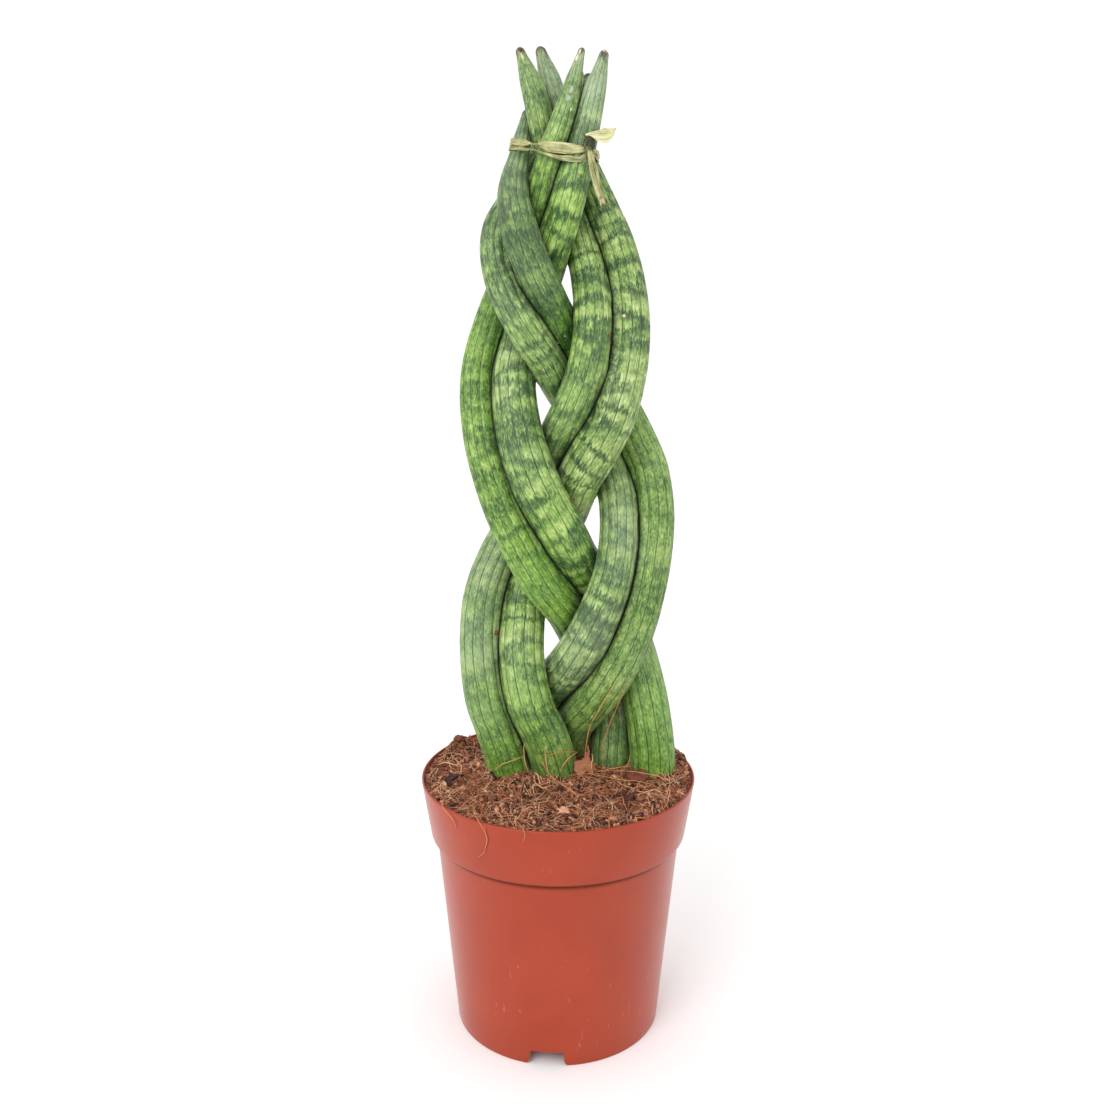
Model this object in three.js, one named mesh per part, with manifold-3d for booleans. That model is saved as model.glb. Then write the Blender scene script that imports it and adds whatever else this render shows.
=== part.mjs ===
/*
 * Cylindrical snake plant (Dracaena angolensis) in a plastic nursery pot.
 *
 * Six round, ribbed leaves stand in coir soil. They are plaited as three strands of two leaves,
 * and a ribbon of raffia holds the plait together just under the leaf tips.
 *
 * Millimetres. +Z is up and +Y is the back. The origin is the middle of the pot's foot, on the
 * surface that the pot stands on.
 */
import * as THREE from 'three';
import { mergeVertices } from 'three/addons/utils/BufferGeometryUtils.js';
import Module from 'manifold-3d';

const wasm = await Module();
wasm.setup();

// ---------------------------------------------------------------- driving dimensions

const GAP = 0.3; // clear space between pieces that touch

const POT = {
  height: 115.2,
  rimRadius: 60,
  bandFoot: 88.9, // height of the rim band's lower edge
  bandFootRadius: 56,
  bandRound: 2, // rounding of that edge
  shoulderRadius: 53.7, // body just under the band
  footTop: 9, // where the tapered body meets the upright foot
  footRadius: 46.4,
  footLean: 0.8, // how much narrower the foot is where it stands
  wall: 1.4,
  floorUnderside: 7.2,
  floorThickness: 1.4,
  sides: 48,
};
const FOOT_NOTCH = {
  count: 3,
  bearing: -95.7,
  topWidth: 14.1,
  footWidth: 14.9,
  height: 6.8,
  flare: 2.6,
  proud: 2, // how far the cut starts outside the foot
  depth: 6, // and how far it goes in from there
};
const DRAIN = { count: 4, radius: 5, ring: 26, sides: 16 };

const SOIL = {
  rim: 113.6, // level at the wall, away from the heaps
  dome: 3.2,
  lump: 1.1,
  heaps: [[54, 15, 3.6, 16], [-47, 32, 3, 9]], // [right, back, height, spread]
  sides: 40,
  rings: 7,
};

const LEAF = {
  ribs: 12,
  ribDepth: 0.55,
  leastRibShare: 0.07, // a thin tip's ribs are this share of its radius
  rings: 38,
  tipRings: 3,
  planted: 0.14, // share of a leaf that its hole in the soil follows
};

const TIE = {
  height: 377.4, // middle of the upper turn
  slope: -0.06, // the turns fall a little to the right
  thickness: 0.6,
  upperWidth: 4,
  lowerWidth: 1.8,
  leastDrop: 1.8, // how far the lower turn hangs under the upper one at the back
  knotDrop: 4.2, // and at the knot
  margin: 2.5, // the turns clear the leaves this far above and below themselves
  steps: 36,
};
const KNOT = { bearing: -68, open: 6, size: [2.4, 2, 5.4], below: 1, sides: 12, rings: 8 };
/* The ribbon's two loose ends, in rows of [right, back, up, width] from the knot's middle. */
const TAILS = {
  facing: [0.25, -1, 0],
  steps: 8,
  raised: [[0, 0, 1.8, 2.4], [1.2, -0.5, 3.9, 3], [4.5, -1.5, 4.8, 4.4], [8, -2, 5.8, 2.8],
    [10, -2.4, 6.6, 0.8]],
  hanging: [[0, 0, 0, 2.6], [1.8, 0, -7.5, 3.6], [4, 1.5, -15, 3.6], [5, 3, -20, 2.8]],
};

/*
 * Each leaf's route from the soil line to its tip, as the grower plaited it.
 * A row is [height, right, back, leaf width]. Strands a, b and c are two leaves each, and leaf 1
 * lies left of leaf 2. Going up, the front strand of each crossing is a (over b), b (over c),
 * c (over a), a (over b), b (over c) and c (over a), and the tie then takes all six.
 */
const ROUTES = {
  leaf_a1: [
    [83, -19, 2, 17], [114, -21, 1, 19.2], [131, -25, -1, 19], [150, -31, -2, 18.4],
    [171, -33, 0, 17.6], [193, -31, 6, 17], [212, -24, 11, 16], [235, -12, 11, 15.4],
    [258, -3, 4, 15], [276, 5, -7, 15], [294, 11, -10, 15], [312, 13, -8, 14.6],
    [330, 11, 0, 13.8], [348, 6, 6, 12], [363, 0, 6, 10.6], [376, -5, 2, 9.8],
    [388, -8.5, -2, 9.8], [395, -9.7, -3, 9.4], [404, -12.5, -4, 7.2], [411.5, -15, -4, 4.2],
  ],
  leaf_a2: [
    [83, 0, 3, 17.4], [114, -1, 1, 19.6], [131, -4, -3, 19.4], [150, -11, -8, 19],
    [170, -14, -6, 18.6], [188, -12, 3, 18.2], [204, -9.5, 9, 17.6], [222, 0, 11, 17.8],
    [240, 9, 3, 18.2], [258, 15, -7, 18.6], [276, 22, -9, 17.8], [294, 27, -4, 16.8],
    [312, 28, 0, 16.2], [328, 25.5, 3, 15], [344, 20, 5, 13.8], [358, 15, 6, 12],
    [366, 12, 7, 11], [373, 9, 8, 10.2], [381, 5, 8, 9.8], [389, 1, 7, 9.6],
    [400, -3, 6, 9.4], [407, -5.2, 5.5, 7.2], [413, -7.3, 5, 5],
  ],
  leaf_b1: [
    [83, -11, 22, 16], [114, -12, 22, 17.8], [132, -11, 21, 17.8], [150, -4, 12, 18],
    [167, 5, -3, 18.4], [187, 14, -11, 17.8], [205, 21, -11, 16.4], [222, 24, -8, 15.6],
    [238, 23.3, 1, 15.2], [255, 18, 11, 14.4], [272, 8, 11, 14.4], [288, -3, 1, 14.2],
    [304, -12, -9, 14], [320, -20, -9, 13.2], [334, -25, -3, 12.4], [347, -24.5, 2, 11.8],
    [358, -19, 8, 10.8], [368, -14.5, 13, 10], [379, -6.5, 15, 9.2], [391, 3, 14, 8.2],
    [399, 8.5, 11, 6.6], [404, 11, 9, 4.8],
  ],
  leaf_b2: [
    [83, 7, 24, 16], [114, 7, 23, 17.8], [131, 6.5, 14, 17.8], [147, 14, 1, 17.6],
    [168, 25.5, -8, 16.8], [188, 33.5, -8, 16.2], [212, 38.6, -4, 15.8], [228, 38.9, 2, 16.2],
    [244, 35.5, 8, 16.4], [262, 30, 12, 16.2], [280, 21, 11, 15.8], [300, 4, 4, 15],
    [317, -4, -6, 14.2], [330, -9.5, -12, 14.2], [342, -14, -13, 14.4], [350, -16, -12, 13.8],
    [358, -17.2, -10, 12.2], [366, -16.7, -7, 10], [374, -15, -3, 7.6], [381, -13.8, 1, 6.6],
    [390, -13, 4, 4.4],
  ],
  leaf_c1: [
    [83, 22, 9, 16], [114, 23, 11, 17.2], [134, 23, 16, 17.2], [150, 20, 19, 17.2],
    [166, 12, 17, 17], [184, 3, 7, 16.8], [203, -7.5, -8, 16.8], [222, -16.5, -11, 16.2],
    [240, -25, -8, 15], [262, -31, -3, 14.8], [280, -32, 3, 14.6], [296, -29.5, 8, 14.2],
    [311, -26, 11, 13.6], [324, -21.5, 10, 12.8], [337, -15, 7, 12.2], [349, -10, 2, 11.6],
    [361, -7, -6, 10.6], [373, -4, -9, 9.8], [384, 0, -8, 9.2], [390, 2, -7, 8.2],
    [398, 4.3, -6, 7], [406, 6.7, -5, 4.8], [412, 8.3, -4, 3],
  ],
  leaf_c2: [
    [83, 39.5, 4, 17.6], [114, 42, 3, 19.6], [134, 40.5, 4, 19.6], [155, 36.5, 7, 19.2],
    [173, 31, 11, 18.6], [190, 22, 10, 18.2], [206, 10, 2, 18.2], [219, 4.5, -7, 18.6],
    [232, -1, -11, 19], [248, -9, -11, 19], [264, -14.5, -9, 18], [280, -16.7, -4, 17.2],
    [296, -15.8, 3, 16.4], [311, -12, 8, 15.2], [324, -7, 6, 14.4], [337, -2, -1, 14],
    [350, 1.5, -8, 13.6], [364, 5, -10, 12.2], [379, 9, -9, 10.4], [388, 11.5, -8, 9],
    [398, 13.8, -6, 7.6], [406, 15.6, -5, 6.2], [410.5, 16.8, -4, 4.4],
  ],
};

const SETTLE = { samples: 120, passes: 300, lastPasses: 100, clearance: 0.5, spread: 0.4, relax: 0.96 };

// ---------------------------------------------------------------- solids

/** Turns a closed three.js geometry into a solid. */
function solid(geometry) {
  const bare = geometry.index ? geometry.clone() : geometry;
  bare.deleteAttribute('normal');
  bare.deleteAttribute('uv');
  const merged = mergeVertices(bare, 1e-4);
  const vertProperties = new Float32Array(merged.attributes.position.array);
  const triVerts = new Uint32Array(merged.index.array);
  return new wasm.Manifold(new wasm.Mesh({ numProp: 3, vertProperties, triVerts }));
}

/** Turns a solid back into a three.js geometry. */
function geometryOf(shape) {
  const mesh = shape.getMesh();
  const geometry = new THREE.BufferGeometry();
  geometry.setAttribute('position', new THREE.BufferAttribute(mesh.vertProperties, 3));
  geometry.setIndex(new THREE.BufferAttribute(mesh.triVerts, 1));
  return geometry;
}

/** A lathe turned about +Z from a profile of [radius, height] pairs that goes up the outside. */
function turned(profile, sides) {
  const points = profile.map(([radius, height]) => new THREE.Vector2(radius, height));
  return new THREE.LatheGeometry(points, sides).rotateX(Math.PI / 2);
}

/** Moves every vertex of a geometry to move(vertex). */
function reshaped(geometry, move) {
  const position = geometry.attributes.position;
  const vertex = new THREE.Vector3();
  for (let i = 0; i < position.count; i += 1) {
    move(vertex.fromBufferAttribute(position, i));
    position.setXYZ(i, vertex.x, vertex.y, vertex.z);
  }
  return geometry;
}

// ---------------------------------------------------------------- pot

/** The pot's outer outline from the foot up to the rim, as [radius, height]. */
function potOutside() {
  const { bandFoot, bandFootRadius, bandRound } = POT;
  return [
    [POT.footRadius - POT.footLean, 0],
    [POT.footRadius, POT.footTop],
    [POT.shoulderRadius, bandFoot],
    [bandFootRadius - bandRound, bandFoot],
    [bandFootRadius - 0.3 * bandRound, bandFoot + 0.3 * bandRound],
    [bandFootRadius + 0.2, bandFoot + bandRound],
    [POT.rimRadius - 0.3, POT.height - 1],
    [POT.rimRadius, POT.height - 0.4],
    [POT.rimRadius - 0.4, POT.height],
  ];
}

/** The inside of the pot's wall from its floor up to the rim, moved inwards by a clearance. */
function potInside(clearance) {
  const inset = POT.wall + clearance;
  const floor = POT.floorUnderside + POT.floorThickness + clearance;
  return [
    [POT.footRadius - inset, floor],
    [POT.shoulderRadius - inset, POT.bandFoot - POT.wall],
    [POT.bandFootRadius - inset, POT.bandFoot + POT.wall],
    [POT.rimRadius - inset, POT.height],
  ];
}

/** The opening of one foot notch: an upright outline, pushed through the foot's wall. */
function footNotch(bearing) {
  const { topWidth, footWidth, height, flare, proud, depth } = FOOT_NOTCH;
  const half = footWidth / 2;
  const outline = new THREE.Shape();
  outline.moveTo(-half - flare, -1);
  outline.lineTo(-half - flare, 0);
  outline.absarc(-half - flare, flare, flare, -Math.PI / 2, 0, false);
  outline.lineTo(-topWidth / 2, height);
  outline.lineTo(topWidth / 2, height);
  outline.lineTo(half, flare);
  outline.absarc(half + flare, flare, flare, Math.PI, 1.5 * Math.PI, false);
  outline.lineTo(half + flare, -1);
  return new THREE.ExtrudeGeometry(outline, { depth, bevelEnabled: false, curveSegments: 4 })
    .rotateX(Math.PI / 2)
    .translate(0, depth - proud - POT.footRadius, 0)
    .rotateZ(THREE.MathUtils.degToRad(bearing + 90));
}

function pot() {
  const under = POT.floorUnderside;
  const inside = potInside(0).reverse();
  let shape = solid(turned([
    ...potOutside(),
    ...inside,
    [0, under + POT.floorThickness],
    [0, under],
    [POT.footRadius - POT.wall - POT.footLean / 2, under],
    [POT.footRadius - POT.wall - POT.footLean, 0],
    potOutside()[0],
  ], POT.sides));
  for (let i = 0; i < FOOT_NOTCH.count; i += 1) {
    shape = shape.subtract(solid(footNotch(FOOT_NOTCH.bearing + (i * 360) / FOOT_NOTCH.count)));
  }
  for (let i = 0; i < DRAIN.count; i += 1) {
    const angle = ((i + 0.5) * 2 * Math.PI) / DRAIN.count;
    const hole = new THREE.CylinderGeometry(DRAIN.radius, DRAIN.radius, 8, DRAIN.sides)
      .rotateX(Math.PI / 2)
      .translate(DRAIN.ring * Math.cos(angle), DRAIN.ring * Math.sin(angle), under);
    shape = shape.subtract(solid(hole));
  }
  return geometryOf(shape);
}

// ---------------------------------------------------------------- leaves

/** Reads a value that changes evenly between rows, at a height. */
function valueAt(rows, height, column) {
  const next = rows.findIndex((row) => row[0] >= height);
  if (next <= 0) return rows[next === 0 ? 0 : rows.length - 1][column];
  const [below, above] = [rows[next - 1], rows[next]];
  const share = (height - below[0]) / (above[0] - below[0]);
  return THREE.MathUtils.lerp(below[column], above[column], share);
}

/** One leaf as a chain of round samples: where each sample's middle is, and its radius. */
class Leaf {
  constructor(name, rows) {
    this.name = name;
    const points = rows.map(([height, right, back]) => new THREE.Vector3(right, back, height));
    const route = new THREE.CatmullRomCurve3(points, false, 'centripetal');
    this.home = route.getSpacedPoints(SETTLE.samples - 1);
    this.radii = this.home.map((point) => valueAt(rows, point.z, 3) / 2);
    this.shift = this.home.map(() => new THREE.Vector3());
    this.middles = this.home.map((point) => point.clone());
  }

  /** Evens the shifts out along the leaf, so that it bends instead of denting, and eases them. */
  spread(relax) {
    const before = this.shift.map((vector) => vector.clone());
    for (let i = 1; i < before.length - 1; i += 1) {
      const even = before[i - 1].clone().add(before[i + 1]).multiplyScalar(0.5);
      this.shift[i].lerp(even, SETTLE.spread).multiplyScalar(relax);
    }
  }

  place() {
    this.middles.forEach((middle, i) => middle.copy(this.home[i]).add(this.shift[i]));
  }

  /** Fixes the leaf's final line, its radius along it and a set of frames. */
  finish() {
    this.line = new THREE.CatmullRomCurve3(this.middles, false, 'centripetal');
    this.line.arcLengthDivisions = 600;
    this.frames = this.line.computeFrenetFrames(Leaf.frameSteps, false);
    this.points = this.line.getSpacedPoints(Leaf.frameSteps);
  }

  radiusAt(u) {
    const place = u * (this.radii.length - 1);
    const i = Math.min(Math.floor(place), this.radii.length - 2);
    return THREE.MathUtils.lerp(this.radii[i], this.radii[i + 1], place - i);
  }
}
Leaf.frameSteps = 400;

/** Moves two leaves apart wherever they come closer than the clearance. */
function pushApart(one, other) {
  const between = new THREE.Vector3();
  one.middles.forEach((a, i) => {
    other.middles.forEach((b, j) => {
      const reach = one.radii[i] + other.radii[j] + SETTLE.clearance;
      if (Math.abs(a.z - b.z) > reach) return;
      between.subVectors(a, b);
      const overlap = reach - between.length();
      if (overlap <= 0) return;
      between.setLength(overlap / 2);
      one.shift[i].add(between);
      other.shift[j].sub(between);
    });
  });
  one.place();
  other.place();
}

/** The six leaves, settled against each other so that none cuts into its neighbour. */
function plaited() {
  const leaves = Object.entries(ROUTES).map(([name, rows]) => new Leaf(name, rows));
  for (let pass = 0; pass < SETTLE.passes; pass += 1) {
    const relax = pass < SETTLE.passes - SETTLE.lastPasses ? SETTLE.relax : 1;
    leaves.forEach((leaf) => leaf.spread(relax));
    leaves.forEach((leaf) => leaf.place());
    leaves.forEach((one, i) => leaves.slice(i + 1).forEach((other) => pushApart(one, other)));
  }
  leaves.forEach((leaf) => leaf.finish());
  return leaves;
}

/**
 * A closed body round a leaf's line, from its foot to a share of its length. The section is round,
 * with radius(u, angle), and the end is rounded when tip rings are asked for.
 */
function bodyAlong(leaf, { rings, sides, until, tipRings, radius }) {
  const stations = [];
  for (let i = 0; i <= rings; i += 1) stations.push({ u: (until * i) / rings, scale: 1, ahead: 0 });
  for (let k = 1; k < tipRings; k += 1) {
    const turn = (k * Math.PI) / 2 / tipRings;
    stations.push({ u: until, scale: Math.cos(turn), ahead: Math.sin(turn) });
  }
  if (tipRings > 0) stations.push({ u: until, scale: 0, ahead: 1 });
  else stations.push({ u: until, scale: 0, ahead: 0 });

  const profile = stations.map(({ scale }, i) => [scale === 0 ? 0 : 1, i]);
  const body = turned([[0, 0], ...profile], sides);
  return reshaped(body, (vertex) => {
    const { u, scale, ahead } = stations[Math.round(vertex.z)];
    const angle = Math.atan2(vertex.y, vertex.x);
    const size = Math.hypot(vertex.x, vertex.y) * scale * radius(u, angle);
    const step = Math.round(u * Leaf.frameSteps);
    vertex.copy(leaf.points[step])
      .addScaledVector(leaf.frames.tangents[step], ahead * leaf.radiusAt(u))
      .addScaledVector(leaf.frames.normals[step], size * Math.cos(angle))
      .addScaledVector(leaf.frames.binormals[step], size * Math.sin(angle));
  });
}

/** A leaf's own body: a tapering round blade with shallow grooves between its ribs. */
function leafBody(leaf) {
  const { ribs, ribDepth, leastRibShare } = LEAF;
  return bodyAlong(leaf, {
    rings: LEAF.rings,
    sides: 2 * ribs,
    until: 1,
    tipRings: LEAF.tipRings,
    radius: (u, angle) => {
      const full = leaf.radiusAt(u);
      const groove = Math.min(ribDepth, leastRibShare * full);
      return full - (groove * (1 - Math.cos(ribs * angle))) / 2;
    },
  });
}

/** The plain hole that a leaf stands in, as a body to take out of the soil. */
function leafHole(leaf) {
  return bodyAlong(leaf, {
    rings: 5,
    sides: LEAF.ribs,
    until: LEAF.planted,
    tipRings: 0,
    radius: (u) => leaf.radiusAt(u) + GAP,
  });
}

// ---------------------------------------------------------------- soil

/** How far the soil's heaped, lumpy surface stands above its level at the rim, at a place in plan. */
function soilLump(x, y) {
  const waves = Math.sin(0.17 * x + 1.1) * Math.cos(0.21 * y - 0.4)
    + 0.5 * Math.sin(0.43 * x - 0.3 * y) + 0.35 * Math.cos(0.71 * y + 0.37 * x);
  const edge = Math.hypot(x, y) / POT.rimRadius;
  const heaped = SOIL.heaps.reduce((sum, [right, back, height, spread]) => (
    sum + height * Math.exp(-((x - right) ** 2 + (y - back) ** 2) / spread ** 2)), 0);
  return SOIL.dome * (1 - edge ** 2) + SOIL.lump * waves * (1 - edge ** 8) + heaped;
}

function soil(leaves) {
  const wall = potInside(GAP);
  const brim = wall.pop();
  const last = wall[wall.length - 1];
  const share = (SOIL.rim - last[1]) / (brim[1] - last[1]);
  const edgeRadius = THREE.MathUtils.lerp(last[0], brim[0], share);
  const top = [];
  for (let i = SOIL.rings; i >= 0; i -= 1) top.push([(edgeRadius * i) / SOIL.rings, SOIL.rim]);
  const body = turned([[0, wall[0][1]], ...wall, ...top], SOIL.sides);
  reshaped(body, (vertex) => {
    if (vertex.z > SOIL.rim - 0.01) vertex.z += soilLump(vertex.x, vertex.y);
  });
  let shape = solid(body);
  for (const leaf of leaves) shape = shape.subtract(solid(leafHole(leaf)));
  return geometryOf(shape);
}

// ---------------------------------------------------------------- tie

/** The point where the leaves, at the heights from low to high, reach furthest at a bearing. */
function furthest(leaves, bearing, low, high) {
  const outward = new THREE.Vector3(Math.cos(bearing), Math.sin(bearing), 0);
  let best = null;
  for (const leaf of leaves) {
    for (let step = 0; step <= Leaf.frameSteps; step += 1) {
      const u = step / Leaf.frameSteps;
      const middle = leaf.points[step];
      if (middle.z < low || middle.z > high) continue;
      const reach = middle.dot(outward) + leaf.radiusAt(u) + GAP;
      if (!best || reach > best.reach) {
        best = { reach, point: middle.clone().addScaledVector(outward, leaf.radiusAt(u) + GAP) };
      }
    }
  }
  return { point: best.point, outward };
}

/** A flat strip that runs along stations of { middle, side, facing, width }. */
function strip(stations, thickness) {
  const steps = stations.length - 1;
  return reshaped(new THREE.BoxGeometry(1, 1, 1, steps, 1, 1), (vertex) => {
    const { middle, side, facing, width } = stations[Math.round((vertex.x + 0.5) * steps)];
    const { y, z } = vertex;
    vertex.copy(middle).addScaledVector(side, y * width).addScaledVector(facing, (z + 0.5) * thickness);
  });
}

/** One turn of ribbon round the bundle, open at the knot. */
function turn(leaves, width, dropAt) {
  const open = THREE.MathUtils.degToRad(KNOT.open);
  const first = THREE.MathUtils.degToRad(KNOT.bearing);
  const up = new THREE.Vector3(0, 0, 1);
  const stations = [];
  for (let i = 0; i <= TIE.steps; i += 1) {
    const round = i / TIE.steps;
    const bearing = first + THREE.MathUtils.lerp(open, 2 * Math.PI - open, round);
    const level = TIE.height - dropAt(round);
    const half = width / 2 + TIE.margin;
    const { point, outward } = furthest(leaves, bearing, level - half, level + half);
    const middle = new THREE.Vector3(point.x, point.y, level + TIE.slope * point.x);
    stations.push({ middle, side: up, facing: outward, width });
  }
  return strip(stations, TIE.thickness);
}

/** A loose end of the ribbon, from rows of [right, back, up, width] from a point. */
function tail(from, rows) {
  const facing = new THREE.Vector3(...TAILS.facing).normalize();
  const points = rows.map(([right, back, up]) => new THREE.Vector3(right, back, up).add(from));
  const curve = new THREE.CatmullRomCurve3(points);
  const stations = [];
  for (let i = 0; i <= TAILS.steps; i += 1) {
    const t = i / TAILS.steps;
    const place = t * (rows.length - 1);
    const row = Math.min(Math.floor(place), rows.length - 2);
    const width = THREE.MathUtils.lerp(rows[row][3], rows[row + 1][3], place - row);
    const side = new THREE.Vector3().crossVectors(facing, curve.getTangent(t)).normalize();
    stations.push({ middle: curve.getPoint(t), side, facing, width });
  }
  return strip(stations, TIE.thickness);
}

/** Two turns of ribbon, the knot that joins them and its two loose ends, as one body. */
function tie(leaves) {
  const level = () => 0;
  const lower = (round) => {
    const nearKnot = Math.abs(2 * round - 1) ** 3;
    return THREE.MathUtils.lerp(TIE.leastDrop, TIE.knotDrop, nearKnot);
  };
  const bearing = THREE.MathUtils.degToRad(KNOT.bearing);
  const { point, outward } = furthest(leaves, bearing, TIE.height - 3, TIE.height + 3);
  const middle = point.clone().addScaledVector(outward, KNOT.size[1]).setZ(TIE.height - KNOT.below);
  const knot = new THREE.SphereGeometry(1, KNOT.sides, KNOT.rings)
    .scale(...KNOT.size)
    .translate(...middle);
  const pieces = [turn(leaves, TIE.upperWidth, level), turn(leaves, TIE.lowerWidth, lower), knot,
    tail(middle, TAILS.raised), tail(middle, TAILS.hanging)];
  return geometryOf(pieces.map(solid).reduce((whole, piece) => whole.add(piece)));
}

// ---------------------------------------------------------------- the whole plant

const COLOURS = {
  pot: { color: 0xb4533a, roughness: 0.42 },
  soil: { color: 0x6f4a3c, roughness: 1 },
  leaf: { color: 0x6f9a4a, roughness: 0.55 },
  tie: { color: 0xa39a62, roughness: 0.8 },
};

function piece(name, geometry, look) {
  const mesh = new THREE.Mesh(geometry, new THREE.MeshStandardMaterial({ ...look, metalness: 0 }));
  mesh.name = name;
  return mesh;
}

const leaves = plaited();

const plant = new THREE.Group();
plant.name = 'snake_plant';
plant.add(piece('pot', pot(), COLOURS.pot));
plant.add(piece('soil', soil(leaves), COLOURS.soil));
for (const leaf of leaves) plant.add(piece(leaf.name, leafBody(leaf), COLOURS.leaf));
plant.add(piece('tie', tie(leaves), COLOURS.tie));

export default plant;
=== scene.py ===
"""Dresses a potted cylindrical snake plant, plaited and tied with raffia.

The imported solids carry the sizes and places. Each class here builds and finishes one
sub-assembly over its solids: the six leaves, the coir soil, the raffia tie and the pot.

Lengths are metres, +Z is up, +Y is the back, and the pot stands on z = 0.
"""

# ruff: noqa: E402
from __future__ import annotations

import logging
import math
import random
from collections.abc import Callable, Mapping, Sequence
from dataclasses import dataclass, field
from enum import Enum

import bmesh
import bpy
import numpy as np
from mathutils import Matrix, Quaternion, Vector, noise
from mathutils.bvhtree import BVHTree
from mathutils.geometry import convex_hull_2d


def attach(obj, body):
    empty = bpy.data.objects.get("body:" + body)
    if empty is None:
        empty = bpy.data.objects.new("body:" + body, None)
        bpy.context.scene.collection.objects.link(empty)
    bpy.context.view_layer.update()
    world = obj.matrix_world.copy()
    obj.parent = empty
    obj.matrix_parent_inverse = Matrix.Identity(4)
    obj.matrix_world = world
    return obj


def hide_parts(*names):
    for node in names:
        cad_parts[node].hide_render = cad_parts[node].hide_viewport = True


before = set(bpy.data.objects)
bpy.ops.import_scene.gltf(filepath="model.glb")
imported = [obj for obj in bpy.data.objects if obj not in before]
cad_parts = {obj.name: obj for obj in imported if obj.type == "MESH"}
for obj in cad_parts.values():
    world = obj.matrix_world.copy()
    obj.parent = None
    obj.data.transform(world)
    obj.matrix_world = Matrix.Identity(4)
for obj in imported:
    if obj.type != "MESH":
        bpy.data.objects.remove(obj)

LOG = logging.getLogger("snake_plant")
ROOT = "root"
MM = 0.001
UP = Vector((0.0, 0.0, 1.0))
RIM_MM, RIM_RADIUS_MM = 115.2, 60.0
BAND_FOOT_MM, BAND_FOOT_RADIUS_MM = 88.9, 56.0
NOISE_SEED = 7  # without it, vector noise differs from run to run

Place = Callable[[float, float], tuple[Vector, ...]]
Row = tuple[float, ...]
Rows = tuple[Row, ...]


# ---------------------------------------------------------------- general helpers


def linear(colour: str) -> tuple[float, float, float, float]:
    """Turns an sRGB hex colour into linear light.

    Args:
        colour: Six hex digits, such as "b8543b".

    Returns:
        Linear red, green and blue, and an alpha of 1.
    """
    parts = [int(colour[i : i + 2], 16) / 255 for i in (0, 2, 4)]
    light = [c / 12.92 if c <= 0.04045 else ((c + 0.055) / 1.055) ** 2.4 for c in parts]
    return (light[0], light[1], light[2], 1.0)


def cells(size_mm: float) -> float:
    """Gives a texture's Scale for cells of a real size in millimetres."""
    return 1 / (size_mm * MM)


def eased(low: float, high: float, value: float) -> float:
    """Goes smoothly from 0 at low to 1 at high."""
    share = min(max((value - low) / (high - low), 0.0), 1.0)
    return share * share * (3 - 2 * share)


class Shading:
    """One material's node tree."""

    def __init__(self, name: str) -> None:
        """Makes the material, with its Principled shader ready as surface."""
        self.material = bpy.data.materials.new(name)
        self.material.use_nodes = True
        self.tree = self.material.node_tree
        self.surface = self.tree.nodes["Principled BSDF"]

    def set(self, node: bpy.types.Node, inputs: Mapping[str | int, object]) -> None:
        """Sets or links a node's input sockets.

        Args:
            node: The node.
            inputs: Socket name or number, and its value or the output that feeds it.
        """
        for key, value in inputs.items():
            if isinstance(value, bpy.types.NodeSocket):
                self.tree.links.new(value, node.inputs[key])
            else:
                node.inputs[key].default_value = value

    def add(
        self,
        kind: str,
        inputs: Mapping[str | int, object] | None = None,
        output: str | int = 0,
        ramp: Sequence[tuple[float, str]] = (),
        **settings: object,
    ) -> bpy.types.NodeSocket:
        """Adds a node with its settings and links.

        Args:
            kind: The node's type, without its ShaderNode prefix.
            inputs: Socket name or number, and its value or the output that feeds it.
            output: The output to hand on.
            ramp: A colour ramp's stops, as place and sRGB hex colour.
            settings: The node's own properties.

        Returns:
            The chosen output socket.
        """
        node = self.tree.nodes.new(f"ShaderNode{kind}")
        for key, value in settings.items():
            setattr(node, key, value)
        self.set(node, inputs or {})
        if ramp:
            stops = node.color_ramp.elements
            while len(stops) < len(ramp):
                stops.new(0.5)
            for stop, (place, colour) in zip(stops, ramp):
                stop.position = place
                stop.color = linear(colour)
        return node.outputs[output]


def finished(name: str, bm: bmesh.types.BMesh, material: bpy.types.Material) -> bpy.types.Object:
    """Makes an object of a bmesh, with smooth faces and one material.

    Args:
        name: The piece's name.
        bm: The shape, which is freed.
        material: Its finish.

    Returns:
        The object, at the origin and unturned.
    """
    mesh = bpy.data.meshes.new(name)
    bm.to_mesh(mesh)
    bm.free()
    mesh.shade_smooth()
    mesh.materials.append(material)
    obj = bpy.data.objects.new(name, mesh)
    bpy.context.collection.objects.link(obj)
    return obj


def settle(obj: bpy.types.Object, slot: str, *nodes: str) -> None:
    """Puts a piece on the model's one body and hides the solids it stands for."""
    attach(obj, ROOT)
    if nodes:
        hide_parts(*nodes)
    LOG.info("%s: %d faces", obj.name, len(obj.data.polygons))


def positions(obj: bpy.types.Object) -> np.ndarray:
    """Reads the vertex positions of an object, one to a row."""
    co = np.empty(len(obj.data.vertices) * 3, np.float32)
    obj.data.vertices.foreach_get("co", co)
    return co.reshape(-1, 3)


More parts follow.
